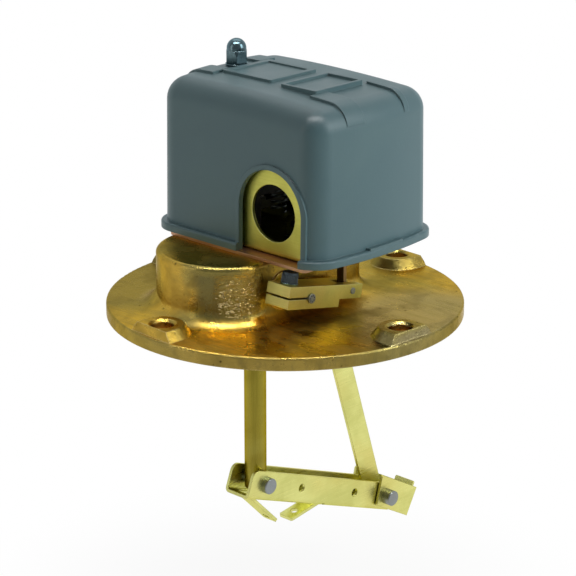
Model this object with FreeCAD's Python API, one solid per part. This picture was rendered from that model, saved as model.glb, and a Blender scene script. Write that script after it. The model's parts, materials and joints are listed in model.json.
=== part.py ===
import FreeCAD, Part
import os
from math import asin, atan2, cos, degrees, hypot, radians, sin, sqrt, tan

Vector = FreeCAD.Vector
X_AXIS = Vector(1, 0, 0)
Y_AXIS = Vector(0, 1, 0)
Z_AXIS = Vector(0, 0, 1)

# Flange-mounted float level switch. Millimetres, +Z up. The origin is the centre of the
# flange's tank face. The operating shaft runs along X, the conduit holes face -Y and +Y.

# flange casting
flange_d = 177.8
flange_t = 6.35
flange_edge_r = 1.0
bolt_edge = 9.525          # from a bolt hole's centre to the flange's rim
bolt_hole_d = 11.1
bolt_count = 4
bolt_turn = -3.3          # degrees, the holes sit a little off the housing's axes
bolt_chamfer = 1.1
pad_rise = 4.75
pad_half = 10.5
pad_slope = 3.6
pad_inner_reach = 4.5     # from the hole's edge to the rounded inner end
pad_outer_reach = 7.0
hub_h = 36.4
hub_round_x = -11.6
hub_round_y = -29.5
hub_round_r = 34.3
hub_flat_x = 20.0
hub_back_y = 42.0
hub_corner_r = 15.0
hub_top_r = 2.2
hub_base_r = 7.6
hub_flare_r = 12.5         # wider foot on the round side away from the arm
hub_flare_turn = 205.0     # degrees, where that foot is widest
hub_front_r = 9.0         # where the round front meets the shaft side
hub_wall = 6.0
hub_roof = 4.4
bridge_t = 9.0
bridge_y = -2.0           # the bridge floor ends here, the lever opening begins
mouth_x0 = -15.0
mouth_x1 = 12.0
mouth_y1 = 39.0
mouth_r = 5.0

# operating shaft and its gland
shaft_d = 4.8
shaft_y = -23.0
shaft_z = 20.0
shaft_tip_x = 39.9
shaft_tail_x = -30.0
run_fit = 0.05            # radial, turning fits
seat_fit = 0.02           # radial, fixed fits
gland_d = 11.0
gland_depth = 7.0
gland_boss_d = 19.0
gland_boss_x = 21.0
packing_len = 4.5
gland_nut_af = 14.0
gland_nut_len = 2.5
gland_nut_turn = 30.0      # degrees
tail_boss_d = 15.0
tail_boss_x = -9.0

# crank inside the hub
crank_len = 45.3
crank_t = 4.0
crank_x = 1.5
crank_hub_d = 14.0
crank_hub_len = 9.5
crank_eye_d = 10.0
crank_pin_d = 4.0
crank_pin_head_d = 7.4
crank_pin_head_t = 1.2
set_screw_d = 3.0

# outer clamp arm
arm_tilt = -11.6
arm_x0 = 24.1
arm_w = 14.8
arm_tail = 15.5
arm_top = 5.8
arm_bottom = 5.2
arm_thick_reach = 21.0
arm_reach = 36.8
fork_bottom = 1.25
slit_w = 1.0
clamp_screw_s = -8.6      # along the arm from the shaft axis
clamp_screw_d = 4.2
clamp_head_d = 7.6
clamp_head_h = 5.4
clamp_washer_d = 8.8
clamp_washer_t = 0.7
link_pin_end = 6.7         # back from the arm's front end
link_pin_m = 2.5
link_pin_d = 3.2

# link strap up into the housing
link_w = 4.4
link_t = 2.0
link_side_gap = 0.35
link_eye_d = 5.6
link_hook_w = 9.0
link_hook_t = 1.6
link_hook_gap = 0.9       # over and under the rocker, which tilts under the wide tops

# hanger post and float lever
lever_tilt = -21.0
pivot_y = -21.6
pivot_z = -86.8
post_d = 11.1
post_stud_d = 7.9
post_stud_len = 8.4
post_seat_d = 12.0         # spot face that seats the post's shoulder
post_seat_depth = 1.0
post_foot = 3.5           # below the pivot
lever_w = 16.0
sheet_t = 1.6
lever_bend_r = 2.6
lever_above = 6.7
lever_below = 8.4
lever_tail = 11.8
lever_nose = 8.0          # past the bar pin
lever_corner_r = 4.0
pin_span = 96.0
side_hole_d = 4.4
side_hole_s = (27.3, 70.8)
pin_d = 5.0
pin_head_d = 8.2
pivot_head_h = 3.0
bar_head_h = 4.9
rivet_d = 7.0
rivet_t = 1.2
spacer_d = 7.6
spacer_gap = 0.3
tab_w = 9.0
window_w = 10.0
tab_back_root = -5.8
tab_front_root = 48.6
tab_back_len = 27.4
tab_front_len = 21.2
tab_back_drop = -24.5
tab_front_drop = 29.1
tab_hole_d = 4.0
tab_hole_back = 23.0
tab_hole_front = 14.4
notch_w = 2.4

# end bracket round the lever's nose
bracket_tilt = -29.5
bracket_w = 20.0
bracket_t = 1.4
bracket_back_top = -9.3
bracket_back_low = -5.1
bracket_top = 9.8
bracket_low = -6.4
bracket_nose = 24.6
bracket_bend_r = 2.6
bracket_tongue_w = 12.6
bracket_tongue_h = 2.6

# connecting bar
bar_w = 12.7
bar_t = 1.6
crank_slack = 0.75        # radial, the bar's upper eye on the crank pin

# base plate and frame
base_t = 1.6
base_x0 = -47.0
base_x1 = 45.5
base_y0 = -34.6
frame_t = 1.6
frame_bend_r = 2.4
conduit_d = 28.2
conduit_x = 19.5
conduit_z = 59.3
plate_side = 4.4          # plate beyond the arch opening, away from the corner
plate_corner_side = 0.4   # and on the side next to the cover's corner
plate_over = 3.0
plate_corner_r = 9.0
ear_w = 10.0
ear_rise = 4.2

# cover
cover_x0 = -55.8
cover_x1 = 49.0
cover_y0 = -32.0
cover_y1 = 52.3
cover_top = 115.5
cover_draft = 0.9
cover_wall = 1.6
cover_corner_r = 12.0
cover_top_r = 11.4
side_bow = 4.4             # the short sides swell this much in their middle
top_crown_r = 900.0        # the top falls away all round from its highest point
top_crown_x = -20.0
lip_out = 3.0
lip_h = 3.9
lip_r = 1.2
step_y0 = -1.6            # taller stretch of the lip on the +X side
step_len = 26.0
step_rise = 0.9
step_inset = 0.4
step_notch = 2.0
arch_r = 20.3
arch_x = 20.9
arch_z = 61.2
bead_w = 2.5
bead_rise = 1.1
frame_gap = 0.35
band_rise = 1.2
band_near = 11.0          # from the cover's mid plane, next to the nut
band_far = 22.0
field_half = 22.0         # raised field on the shaft side
groove_near = -9.9        # groove middles from the cover's mid plane
groove_far = 17.6
groove_w = 1.3
panel_side = 33.0
panel_x0 = -36.6
panel_rise = 1.1
panel_rim = 3.2
panel_floor = 0.3          # from the cover's highest line
label_x0 = 4.4
label_len = 23.4
label_w = 34.0
label_shift = -1.4        # its middle from the cover's mid plane
label_rim = 1.8
label_floor = -0.2        # from the cover's highest line

# cover stud and acorn nut
stud_d = 4.8
stud_x = -43.0
stud_above = 7.5
acorn_af = 10.2
acorn_hex_h = 6.6
acorn_h = 12.6
acorn_washer_d = 11.2
acorn_washer_t = 0.8
foot_nut_af = 8.0
foot_nut_t = 3.2

# rocker and contacts
rocker_y = 7.0
rocker_x = 6.0
rocker_z = 45.2
rocker_w = 10.0
rocker_t = 2.0
rocker_tail = 37.0
rocker_eye_d = 7.0
rocker_pin_d = 3.0
rocker_side_gap = 0.4
carrier_w = 9.0
carrier_h = 6.0
carrier_half = 20.0
contact_arm = 31.0        # from the rocker pin to the contacts
contact_tip_d = 4.6
contact_tip_h = 1.4
bridge_strip_w = 5.0
bridge_strip_t = 1.0
contact_y = (-15.0, -5.0, 5.0, 15.0)     # from the cover's mid plane
contact_gap = 0.5         # between the tips at the rocker's limit
block_x0 = -36.0
block_x1 = -3.0
block_half = 29.0
block_leg = 5.0
block_slab_t = 12.0
barrier_t = 2.0
barrier_h = 9.0
terminal_x = -10.0
terminal_strip_w = 7.0
terminal_strip_t = 1.0
terminal_screw_d = 3.5
terminal_screw_len = 6.5   # into the block
terminal_head_d = 6.6
terminal_head_h = 2.6
spring_arm = 17.0
spring_d = 8.4
spring_wire = 1.0
spring_turns = 5
screw_d = 4.8
screw_head_d = 9.0
screw_head_h = 2.8
screw_boss_d = 11.0
screw_boss_h = 5.0
screw_x = (-36.0, 13.0)
screw_half_y = 18.0
ground_x = 38.0

# travel of the float lever each way, in degrees
lever_swing = 3.5

# derived places
bolt_circle_d = flange_d - 2 * bolt_edge
link_pin_s = arm_reach - link_pin_end
hub_top = hub_h
base_top = hub_top + base_t
floor_top = base_top + frame_t
cover_mid_y = (cover_y0 + cover_y1) / 2
bar_pin_y = pivot_y + pin_span * cos(radians(lever_tilt))
bar_pin_z = pivot_z + pin_span * sin(radians(lever_tilt))
crank_pin_y = shaft_y + crank_len
crank_pin_z = shaft_z
bar_run = hypot(bar_pin_y - crank_pin_y, crank_pin_z - bar_pin_z)
bar_lean = degrees(atan2(bar_pin_y - crank_pin_y, crank_pin_z - bar_pin_z))
arm_mid_x = arm_x0 + arm_w / 2
link_pin_y = shaft_y + link_pin_s * cos(radians(arm_tilt)) - link_pin_m * sin(radians(arm_tilt))
link_pin_z = shaft_z + link_pin_s * sin(radians(arm_tilt)) + link_pin_m * cos(radians(arm_tilt))
link_slot_w = link_w + 2 * link_side_gap

# speed ratios of the linkage about its rest place, used for the contact gap
bar_pull = pin_span * cos(radians(bar_lean - lever_tilt))
crank_ratio = bar_pull / (crank_len * cos(radians(bar_lean)))
rocker_arm = arm_mid_x - rocker_x
rocker_ratio = crank_ratio * (link_pin_y - shaft_y) / rocker_arm
rocker_swing = lever_swing * rocker_ratio


def box(x0, x1, y0, y1, z0, z1):
    return Part.makeBox(x1 - x0, y1 - y0, z1 - z0, Vector(x0, y0, z0))


def cyl_x(x0, x1, y, z, d):
    return Part.makeCylinder(d / 2, x1 - x0, Vector(x0, y, z), X_AXIS)


def cyl_y(y0, y1, x, z, d):
    return Part.makeCylinder(d / 2, y1 - y0, Vector(x, y0, z), Y_AXIS)


def cyl_z(z0, z1, x, y, d):
    return Part.makeCylinder(d / 2, z1 - z0, Vector(x, y, z0), Z_AXIS)


def rounded_wire(points, radii):
    """Closed wire through the points, each corner rounded by an arc of its own radius."""
    count = len(points)
    if not hasattr(radii, "__len__"):
        radii = [radii] * count
    starts, ends, mids = [], [], []
    for i, corner in enumerate(points):
        before = (points[i - 1] - corner).normalize()
        after = (points[(i + 1) % count] - corner).normalize()
        half = before.getAngle(after) / 2
        cut = radii[i] / tan(half)
        middle = (before + after).normalize()
        starts.append(corner + before * cut)
        ends.append(corner + after * cut)
        mids.append(corner + middle * (radii[i] / sin(half) - radii[i]))
    edges = []
    for i in range(count):
        if radii[i] > 0:
            edges.append(Part.Arc(starts[i], mids[i], ends[i]).toShape())
        gap = starts[(i + 1) % count] - ends[i]
        if gap.Length > 1e-6:
            edges.append(Part.makeLine(ends[i], starts[(i + 1) % count]))
    return Part.Wire(edges)


def prism(points, radii, travel):
    return Part.Face(rounded_wire(points, radii)).extrude(travel)


def rect_wire(x0, x1, y0, y1, z, r):
    corners = [Vector(x0, y0, z), Vector(x1, y0, z), Vector(x1, y1, z), Vector(x0, y1, z)]
    return rounded_wire(corners, r)


def rect_block(x0, x1, y0, y1, z0, z1, r):
    return Part.Face(rect_wire(x0, x1, y0, y1, z0, r)).extrude(Vector(0, 0, z1 - z0))


def hex_wire(af, z, x, y, turn=0.0):
    r = af / 2 / cos(radians(30))
    ring = [Vector(x + r * cos(radians(60 * i + turn)), y + r * sin(radians(60 * i + turn)), z)
            for i in range(7)]
    return Part.makePolygon(ring)


def hex_z(z0, z1, x, y, af, turn=0.0):
    return Part.Face(hex_wire(af, z0, x, y, turn)).extrude(Vector(0, 0, z1 - z0))


def strap_plate(x0, thick, length, d_start, d_end):
    """Plate in the YZ plane: two rounded ends joined by their common tangents."""
    r0 = d_start / 2
    r1 = d_end / 2
    y0 = r0 * (r0 - r1) / length
    y1 = length + r1 * (r0 - r1) / length
    rise = sqrt(1 - ((r0 - r1) / length) ** 2)
    edges = [Part.Arc(Vector(x0, y0, r0 * rise), Vector(x0, -r0, 0),
                      Vector(x0, y0, -r0 * rise)).toShape(),
             Part.makeLine(Vector(x0, y0, -r0 * rise), Vector(x0, y1, -r1 * rise)),
             Part.Arc(Vector(x0, y1, -r1 * rise), Vector(x0, length + r1, 0),
                      Vector(x0, y1, r1 * rise)).toShape(),
             Part.makeLine(Vector(x0, y1, r1 * rise), Vector(x0, y0, r0 * rise))]
    return Part.Face(Part.Wire(edges)).extrude(Vector(thick, 0, 0))


def turned(shape, axis, angle, y, z):
    """Carry a shape drawn round the local origin to (y, z), turned about an axis."""
    shape = shape.copy()
    shape.Placement = FreeCAD.Placement(Vector(0, y, z), FreeCAD.Rotation(axis, angle))
    return shape


def fused(shapes):
    body = shapes[0]
    if len(shapes) > 1:
        body = body.multiFuse(shapes[1:])
    return body.removeSplitter()


def edges_at(shape, test):
    return [edge for edge in shape.Edges if test(edge)]


# ---- flange casting ----

def hub_wire(z, inset):
    """Round front, flat shaft side and a square back with rounded corners."""
    r = hub_round_r - inset
    x0 = hub_round_x - r
    x1 = hub_flat_x - inset
    back = hub_back_y - inset
    corner = hub_corner_r - inset
    rise = r * sin(radians(90) - asin((x1 - hub_round_x) / r))
    y_flat = hub_round_y - rise
    left = Vector(x0, hub_round_y, z)
    front = Vector(hub_round_x, hub_round_y - r, z)
    right = Vector(x1, y_flat, z)
    k = sin(radians(45))
    edges = [Part.Arc(left, front, right).toShape(),
             Part.makeLine(right, Vector(x1, back - corner, z)),
             Part.Arc(Vector(x1, back - corner, z),
                      Vector(x1 - corner + corner * k, back - corner + corner * k, z),
                      Vector(x1 - corner, back, z)).toShape(),
             Part.makeLine(Vector(x1 - corner, back, z), Vector(x0 + corner, back, z)),
             Part.Arc(Vector(x0 + corner, back, z),
                      Vector(x0 + corner - corner * k, back - corner + corner * k, z),
                      Vector(x0, back - corner, z)).toShape(),
             Part.makeLine(Vector(x0, back - corner, z), left)]
    return Part.Wire(edges)


def hub_block(z0, z1, inset):
    body = Part.Face(hub_wire(z0, inset)).extrude(Vector(0, 0, z1 - z0))
    ridge = edges_at(body, lambda e: e.BoundBox.ZLength > (z1 - z0) / 2
                     and abs(e.BoundBox.XMax - (hub_flat_x - inset)) < 0.01
                     and e.BoundBox.YMax < hub_round_y)
    return body.makeFillet(hub_front_r - inset, ridge)


def hub_flare():
    """Coved foot turned about an axis beside the hub's, so it runs out at both ends."""
    shift = hub_flare_r - hub_base_r
    turn = radians(hub_flare_turn)
    x = hub_round_x + shift * cos(turn)
    y = hub_round_y + shift * sin(turn)
    r0 = hub_round_r - shift
    low = flange_t - 1.0
    top = flange_t + hub_flare_r
    points = [Vector(0, 0, low), Vector(r0 + hub_flare_r, 0, low),
              Vector(r0 + hub_flare_r, 0, flange_t)]
    mid = Vector(r0 + hub_flare_r * (1 - sqrt(0.5)), 0, flange_t + hub_flare_r * (1 - sqrt(0.5)))
    cove = Part.Arc(points[2], mid, Vector(r0, 0, top)).toShape()
    edges = [Part.makeLine(points[0], points[1]), Part.makeLine(points[1], points[2]), cove,
             Part.makeLine(Vector(r0, 0, top), Vector(0, 0, top)),
             Part.makeLine(Vector(0, 0, top), points[0])]
    foot = Part.Face(Part.Wire(edges)).revolve(Vector(0, 0, 0), Z_AXIS, 360)
    foot.translate(Vector(x, y, 0))
    return foot


def pad_wire(z, grow):
    """One bolt pad's outline: straight outer chord, rounded inner end."""
    half = pad_half + grow
    outer = bolt_circle_d / 2 + pad_outer_reach + grow / 4
    inner = bolt_circle_d / 2 - bolt_hole_d / 2 - pad_inner_reach - grow
    centre = inner + half
    edges = [Part.makeLine(Vector(centre, -half, z), Vector(outer, -half, z)),
             Part.makeLine(Vector(outer, -half, z), Vector(outer, half, z)),
             Part.makeLine(Vector(outer, half, z), Vector(centre, half, z)),
             Part.Arc(Vector(centre, half, z), Vector(inner, 0, z),
                      Vector(centre, -half, z)).toShape()]
    return Part.Wire(edges)


def bolt_angles():
    return [bolt_turn + 360 * i / bolt_count for i in range(bolt_count)]


def bolt_pads():
    low = pad_wire(flange_t - 1.0, pad_slope * (1 + 1.0 / pad_rise))
    high = pad_wire(flange_t + pad_rise, 0.0)
    pad = Part.makeLoft([low, high], True, True)
    rim = cyl_z(0, flange_t + 2 * pad_rise, 0, 0, flange_d - 2 * flange_edge_r)
    pad = pad.common(rim)
    pads = []
    for angle in bolt_angles():
        copy = pad.copy()
        copy.rotate(Vector(0, 0, 0), Z_AXIS, angle)
        pads.append(copy)
    return pads


def bolt_holes():
    top = flange_t + pad_rise
    drill = cyl_z(-1, top + 1, bolt_circle_d / 2, 0, bolt_hole_d)
    mouth = Part.makeCone(bolt_hole_d / 2, bolt_hole_d / 2 + bolt_chamfer, bolt_chamfer,
                          Vector(bolt_circle_d / 2, 0, top - bolt_chamfer), Z_AXIS)
    cutter = drill.fuse(mouth)
    holes = []
    for angle in bolt_angles():
        copy = cutter.copy()
        copy.rotate(Vector(0, 0, 0), Z_AXIS, angle)
        holes.append(copy)
    return holes


def screw_places():
    return [(x, cover_mid_y + side * screw_half_y) for x in screw_x for side in (-1, 1)]


def flange_casting():
    disc = Part.makeCylinder(flange_d / 2, flange_t)
    rim = edges_at(disc, lambda e: e.Closed and abs(e.Vertexes[0].Z - flange_t) < 1e-6)
    disc = disc.makeFillet(flange_edge_r, rim)
    hub = hub_block(0, hub_top, 0.0)
    top = edges_at(hub, lambda e: min(v.Z for v in e.Vertexes) > hub_top - 1e-6)
    hub = hub.makeFillet(hub_top_r, top)
    body = disc.fuse(hub)
    foot = edges_at(body, lambda e: abs(e.BoundBox.ZMin - flange_t) < 1e-4
                    and abs(e.BoundBox.ZMax - flange_t) < 1e-4
                    and max(abs(e.BoundBox.XMin), abs(e.BoundBox.YMin),
                            abs(e.BoundBox.YMax)) < flange_d / 2 - 10)
    body = body.makeFillet(hub_base_r, foot)
    boss = cyl_x(hub_flat_x - hub_wall, gland_boss_x, shaft_y, shaft_z, gland_boss_d)
    body = fused([body, boss, hub_flare()] + bolt_pads())

    cavity = hub_block(bridge_t, hub_top - hub_roof, hub_wall)
    mouth = rect_block(mouth_x0, mouth_x1, bridge_y, mouth_y1, -1, bridge_t + 1, mouth_r)
    body = body.cut(cavity.fuse(mouth))
    inner = []
    tail = cyl_x(hub_round_x - hub_round_r + hub_wall - 1, tail_boss_x, shaft_y, shaft_z,
                 tail_boss_d)
    inner.append(tail)
    for x, y in screw_places():
        inner.append(cyl_z(hub_top - hub_roof - screw_boss_h, hub_top - 1, x, y, screw_boss_d))
    body = fused([body] + inner)

    cutters = bolt_holes()
    cutters.append(cyl_x(shaft_tail_x - 0.5, gland_boss_x + 1, shaft_y, shaft_z,
                         shaft_d + 2 * run_fit))
    cutters.append(cyl_x(gland_boss_x - gland_depth, gland_boss_x + 1, shaft_y, shaft_z,
                         gland_d))
    cutters.append(cyl_z(-1, post_stud_len + 0.3, 0, pivot_y, post_stud_d + 2 * seat_fit))
    cutters.append(cyl_z(-1, post_seat_depth, 0, pivot_y, post_seat_d))
    for x, y in screw_places():
        cutters.append(cyl_z(hub_top - hub_roof - screw_boss_h + 1, hub_top + 1, x, y,
                             screw_d + 2 * seat_fit))
    return body.cut(Part.makeCompound(cutters))


# ---- shaft, gland and crank ----

def shaft():
    return cyl_x(shaft_tail_x, shaft_tip_x, shaft_y, shaft_z, shaft_d)


def packing_ring():
    x0 = gland_boss_x - gland_depth + 0.05
    ring = cyl_x(x0, x0 + packing_len, shaft_y, shaft_z, gland_d - 2 * seat_fit)
    return ring.cut(cyl_x(x0 - 1, x0 + packing_len + 1, shaft_y, shaft_z,
                          shaft_d + 2 * run_fit))


def gland_nut():
    """Hexagon outside the boss, threaded barrel down onto the packing."""
    x1 = gland_boss_x + gland_nut_len
    barrel_x0 = gland_boss_x - gland_depth + packing_len + 0.1
    head = hex_z(0, gland_nut_len, 0, 0, gland_nut_af, gland_nut_turn)
    head.Placement = FreeCAD.Placement(Vector(gland_boss_x, shaft_y, shaft_z),
                                       FreeCAD.Rotation(Y_AXIS, 90))
    barrel = cyl_x(barrel_x0, gland_boss_x + 0.5, shaft_y, shaft_z, gland_d - 2 * seat_fit)
    bore = cyl_x(barrel_x0 - 1, x1 + 1, shaft_y, shaft_z, shaft_d + 2 * run_fit)
    return fused([head, barrel]).cut(bore)


def crank_arm():
    """Plate from the shaft to the crank pin, with a hub and set screw on the shaft."""
    plate = strap_plate(crank_x, crank_t, crank_len, crank_hub_d, crank_eye_d)
    hub = cyl_x(crank_x + crank_t - 1, crank_x + crank_hub_len, 0, 0, crank_hub_d - 1)
    body = fused([plate, hub])
    body = body.cut(cyl_x(crank_x - 1, crank_x + crank_hub_len + 1, 0, 0,
                          shaft_d + 2 * seat_fit))
    body = body.cut(cyl_x(crank_x - 1, crank_x + crank_t + 1, crank_len, 0,
                          crank_pin_d + 2 * seat_fit))
    body = body.cut(set_screw_hole(seat_fit))
    return turned(body, X_AXIS, 0, shaft_y, shaft_z)


def set_screw_hole(gap):
    middle = crank_x + (crank_t + crank_hub_len) / 2
    return cyl_z(0, crank_hub_d, middle, 0, set_screw_d + 2 * gap)


def crank_set_screw():
    middle = crank_x + (crank_t + crank_hub_len) / 2
    body = cyl_z(shaft_d / 2 + 0.05, crank_hub_d / 2 + 0.4, middle, 0, set_screw_d)
    socket = hex_z(crank_hub_d / 2 - 1.2, crank_hub_d / 2 + 1, middle, 0, set_screw_d / 2)
    return turned(body.cut(socket), X_AXIS, 0, shaft_y, shaft_z)


def crank_pin():
    head_x = -bar_t / 2 - 0.5 - crank_pin_head_t
    body = cyl_x(head_x, crank_x + crank_t + 0.4, crank_pin_y, crank_pin_z, crank_pin_d)
    head = cyl_x(head_x, head_x + crank_pin_head_t, crank_pin_y, crank_pin_z, crank_pin_head_d)
    return fused([body, head])


# ---- outer clamp arm, drawn along +Y from the shaft axis, then tilted ----

def clamp_arm():
    x1 = arm_x0 + arm_w
    outline = [Vector(arm_x0, -arm_tail, -arm_bottom), Vector(arm_x0, arm_thick_reach, -arm_bottom),
               Vector(arm_x0, arm_thick_reach, -fork_bottom), Vector(arm_x0, arm_reach, -fork_bottom),
               Vector(arm_x0, arm_reach, arm_top), Vector(arm_x0, -arm_tail, arm_top)]
    body = prism(outline, 0.4, Vector(arm_w, 0, 0))
    bore = cyl_x(arm_x0 - 1, x1 + 1, 0, 0, shaft_d + 2 * seat_fit)
    slit = box(arm_x0 - 1, x1 + 1, -arm_tail - 1, 0, -slit_w / 2, slit_w / 2)
    slot = box(arm_mid_x - link_slot_w / 2, arm_mid_x + link_slot_w / 2, arm_thick_reach + 2,
               arm_reach + 1, -arm_bottom - 1, arm_top + 1)
    pin = cyl_x(arm_x0 - 1, x1 + 1, link_pin_s, link_pin_m, link_pin_d + 2 * seat_fit)
    screw = cyl_z(-arm_bottom - 1, arm_top + 1, arm_mid_x, clamp_screw_s,
                  clamp_screw_d + 2 * seat_fit)
    body = body.cut(Part.makeCompound([bore, slit, slot, pin, screw]))
    return turned(body, X_AXIS, arm_tilt, shaft_y, shaft_z)


def clamp_screw():
    """Socket cap screw across the slit."""
    z0 = arm_top + clamp_washer_t
    shank = cyl_z(-arm_bottom + 0.3, z0 + 1, arm_mid_x, clamp_screw_s, clamp_screw_d)
    head = cyl_z(z0, z0 + clamp_head_h, arm_mid_x, clamp_screw_s, clamp_head_d)
    rim = edges_at(head, lambda e: e.Closed and e.BoundBox.ZMin > z0 + clamp_head_h - 0.01)
    head = head.makeChamfer(0.5, rim)
    socket = hex_z(z0 + clamp_head_h - 2.4, z0 + clamp_head_h + 1, arm_mid_x, clamp_screw_s,
                   clamp_head_d / 2)
    return turned(fused([shank, head]).cut(socket), X_AXIS, arm_tilt, shaft_y, shaft_z)


def clamp_washer():
    ring = cyl_z(arm_top, arm_top + clamp_washer_t, arm_mid_x, clamp_screw_s, clamp_washer_d)
    hole = cyl_z(arm_top - 1, arm_top + 2, arm_mid_x, clamp_screw_s,
                 clamp_screw_d + 2 * seat_fit)
    return turned(ring.cut(hole), X_AXIS, arm_tilt, shaft_y, shaft_z)


def link_pin():
    body = cyl_x(arm_x0 - 0.3, arm_x0 + arm_w + 0.3, link_pin_s, link_pin_m, link_pin_d)
    return turned(body, X_AXIS, arm_tilt, shaft_y, shaft_z)


def link_strap():
    """Flat strap with an eye on the fork pin and a T-shaped top over the rocker's end."""
    x0 = arm_mid_x - link_w / 2
    x1 = arm_mid_x + link_w / 2
    top = rocker_z + rocker_t / 2 + link_hook_gap
    eye = cyl_x(x0, x1, link_pin_y, link_pin_z, link_eye_d)
    strap = box(x0, x1, link_pin_y - link_t / 2, link_pin_y + link_t / 2, link_pin_z,
                top + link_hook_t)
    tee = box(arm_mid_x - link_hook_w / 2, arm_mid_x + link_hook_w / 2,
              link_pin_y - link_t / 2, link_pin_y + link_t / 2, top, top + link_hook_t)
    low = rocker_z - rocker_t / 2 - link_hook_gap
    low_tee = box(arm_mid_x - link_hook_w / 2, arm_mid_x + link_hook_w / 2,
                  link_pin_y - link_t / 2, link_pin_y + link_t / 2, low - link_hook_t, low)
    hole = cyl_x(x0 - 1, x1 + 1, link_pin_y, link_pin_z, link_pin_d + 2 * run_fit)
    return fused([eye, strap, tee, low_tee]).cut(hole)


# ---- float lever, drawn along +Y from its pivot, then tilted ----

def channel_section(x_half, low, high, wall, bend):
    """Open-topped U in the XZ plane, as a closed outline."""
    outer = [Vector(-x_half, 0, high), Vector(-x_half, 0, low), Vector(x_half, 0, low),
             Vector(x_half, 0, high), Vector(x_half - wall, 0, high),
             Vector(x_half - wall, 0, low + wall), Vector(wall - x_half, 0, low + wall),
             Vector(wall - x_half, 0, high)]
    inner_bend = bend - wall
    return rounded_wire(outer, [0, bend, bend, 0, 0, inner_bend, inner_bend, 0])


def lanced_tab(root, length, drop, hole_at, way):
    """Tab cut from the web and bent down about its root edge."""
    tab = box(-tab_w / 2, tab_w / 2, 0, length, 0, sheet_t)
    corners = edges_at(tab, lambda e: e.BoundBox.ZLength > sheet_t / 2
                       and e.BoundBox.YMin > length / 2)
    tab = tab.makeFillet(1.2, corners)
    tab = tab.cut(cyl_z(-1, sheet_t + 1, 0, hole_at, tab_hole_d))
    tab = tab.fuse(cyl_x(-tab_w / 2, tab_w / 2, 0, sheet_t / 2, sheet_t))
    if way < 0:
        tab = tab.mirror(Vector(0, 0, 0), Y_AXIS)
    tab.rotate(Vector(0, 0, sheet_t / 2), X_AXIS, drop)
    tab.translate(Vector(0, root, -lever_below))
    return tab


def float_lever():
    section = Part.Face(channel_section(lever_w / 2, -lever_below, lever_above, sheet_t,
                                        lever_bend_r))
    start = -lever_tail
    body = section.extrude(Vector(0, lever_tail + pin_span + lever_nose, 0))
    body.translate(Vector(0, start, 0))
    corner = prism([Vector(-lever_w, start, -lever_below - 1),
                    Vector(-lever_w, pin_span + lever_nose, -lever_below - 1),
                    Vector(-lever_w, pin_span + lever_nose, lever_above),
                    Vector(-lever_w, start, lever_above)],
                   [0, 0, lever_corner_r, lever_corner_r], Vector(2 * lever_w, 0, 0))
    body = body.common(corner)
    window = box(-window_w / 2, window_w / 2, tab_back_root, tab_front_root,
                 -lever_below - 1, -lever_below + sheet_t + 0.5)
    cutters = [window]
    for side in (-1, 1):
        near = side * tab_w / 2
        far = side * (window_w / 2 + notch_w)
        cutters.append(box(min(near, far), max(near, far), tab_front_root - notch_w / 2,
                           tab_front_root + notch_w / 2, -lever_below - 1,
                           -lever_below + sheet_t + 0.5))
    for s in side_hole_s:
        cutters.append(cyl_x(-lever_w, lever_w, s, 0, side_hole_d))
    for s in (0, pin_span):
        cutters.append(cyl_x(-lever_w, lever_w, s, 0, pin_d + 2 * seat_fit))
    body = body.cut(Part.makeCompound(cutters))
    back = lanced_tab(tab_back_root, tab_back_len, tab_back_drop, tab_hole_back, 1)
    front = lanced_tab(tab_front_root, tab_front_len, tab_front_drop, tab_hole_front, -1)
    return turned(fused([body, back, front]), X_AXIS, lever_tilt, pivot_y, pivot_z)


def headed_pin(s, x_head, head_h, x_rivet):
    """Pin across the lever: round head on the +X side, upset rivet on the -X side."""
    shank = cyl_x(x_rivet - rivet_t / 2, x_head + 0.5, s, 0, pin_d)
    head = cyl_x(x_head, x_head + head_h, s, 0, pin_head_d)
    rim = edges_at(head, lambda e: e.Closed and e.BoundBox.XMin > x_head + head_h - 0.01)
    head = head.makeChamfer(0.35, rim)
    rivet = cyl_x(x_rivet - rivet_t, x_rivet, s, 0, rivet_d)
    return turned(fused([shank, head, rivet]), X_AXIS, lever_tilt, pivot_y, pivot_z)


def pivot_pin():
    return headed_pin(0, lever_w / 2, pivot_head_h, -lever_w / 2)


def bar_pin():
    return headed_pin(pin_span, bracket_w / 2, bar_head_h, -bracket_w / 2)


def bar_spacers():
    inner = lever_w / 2 - sheet_t
    sleeves = []
    for side in (-1, 1):
        x0 = bar_t / 2 + spacer_gap
        tube = cyl_x(x0, inner - 0.05, pin_span, 0, spacer_d)
        tube = tube.cut(cyl_x(x0 - 1, inner + 1, pin_span, 0, pin_d + 2 * seat_fit))
        if side < 0:
            tube = tube.mirror(Vector(0, 0, 0), X_AXIS)
        sleeves.append(turned(tube, X_AXIS, lever_tilt, pivot_y, pivot_z))
    return Part.makeCompound(sleeves)


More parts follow.
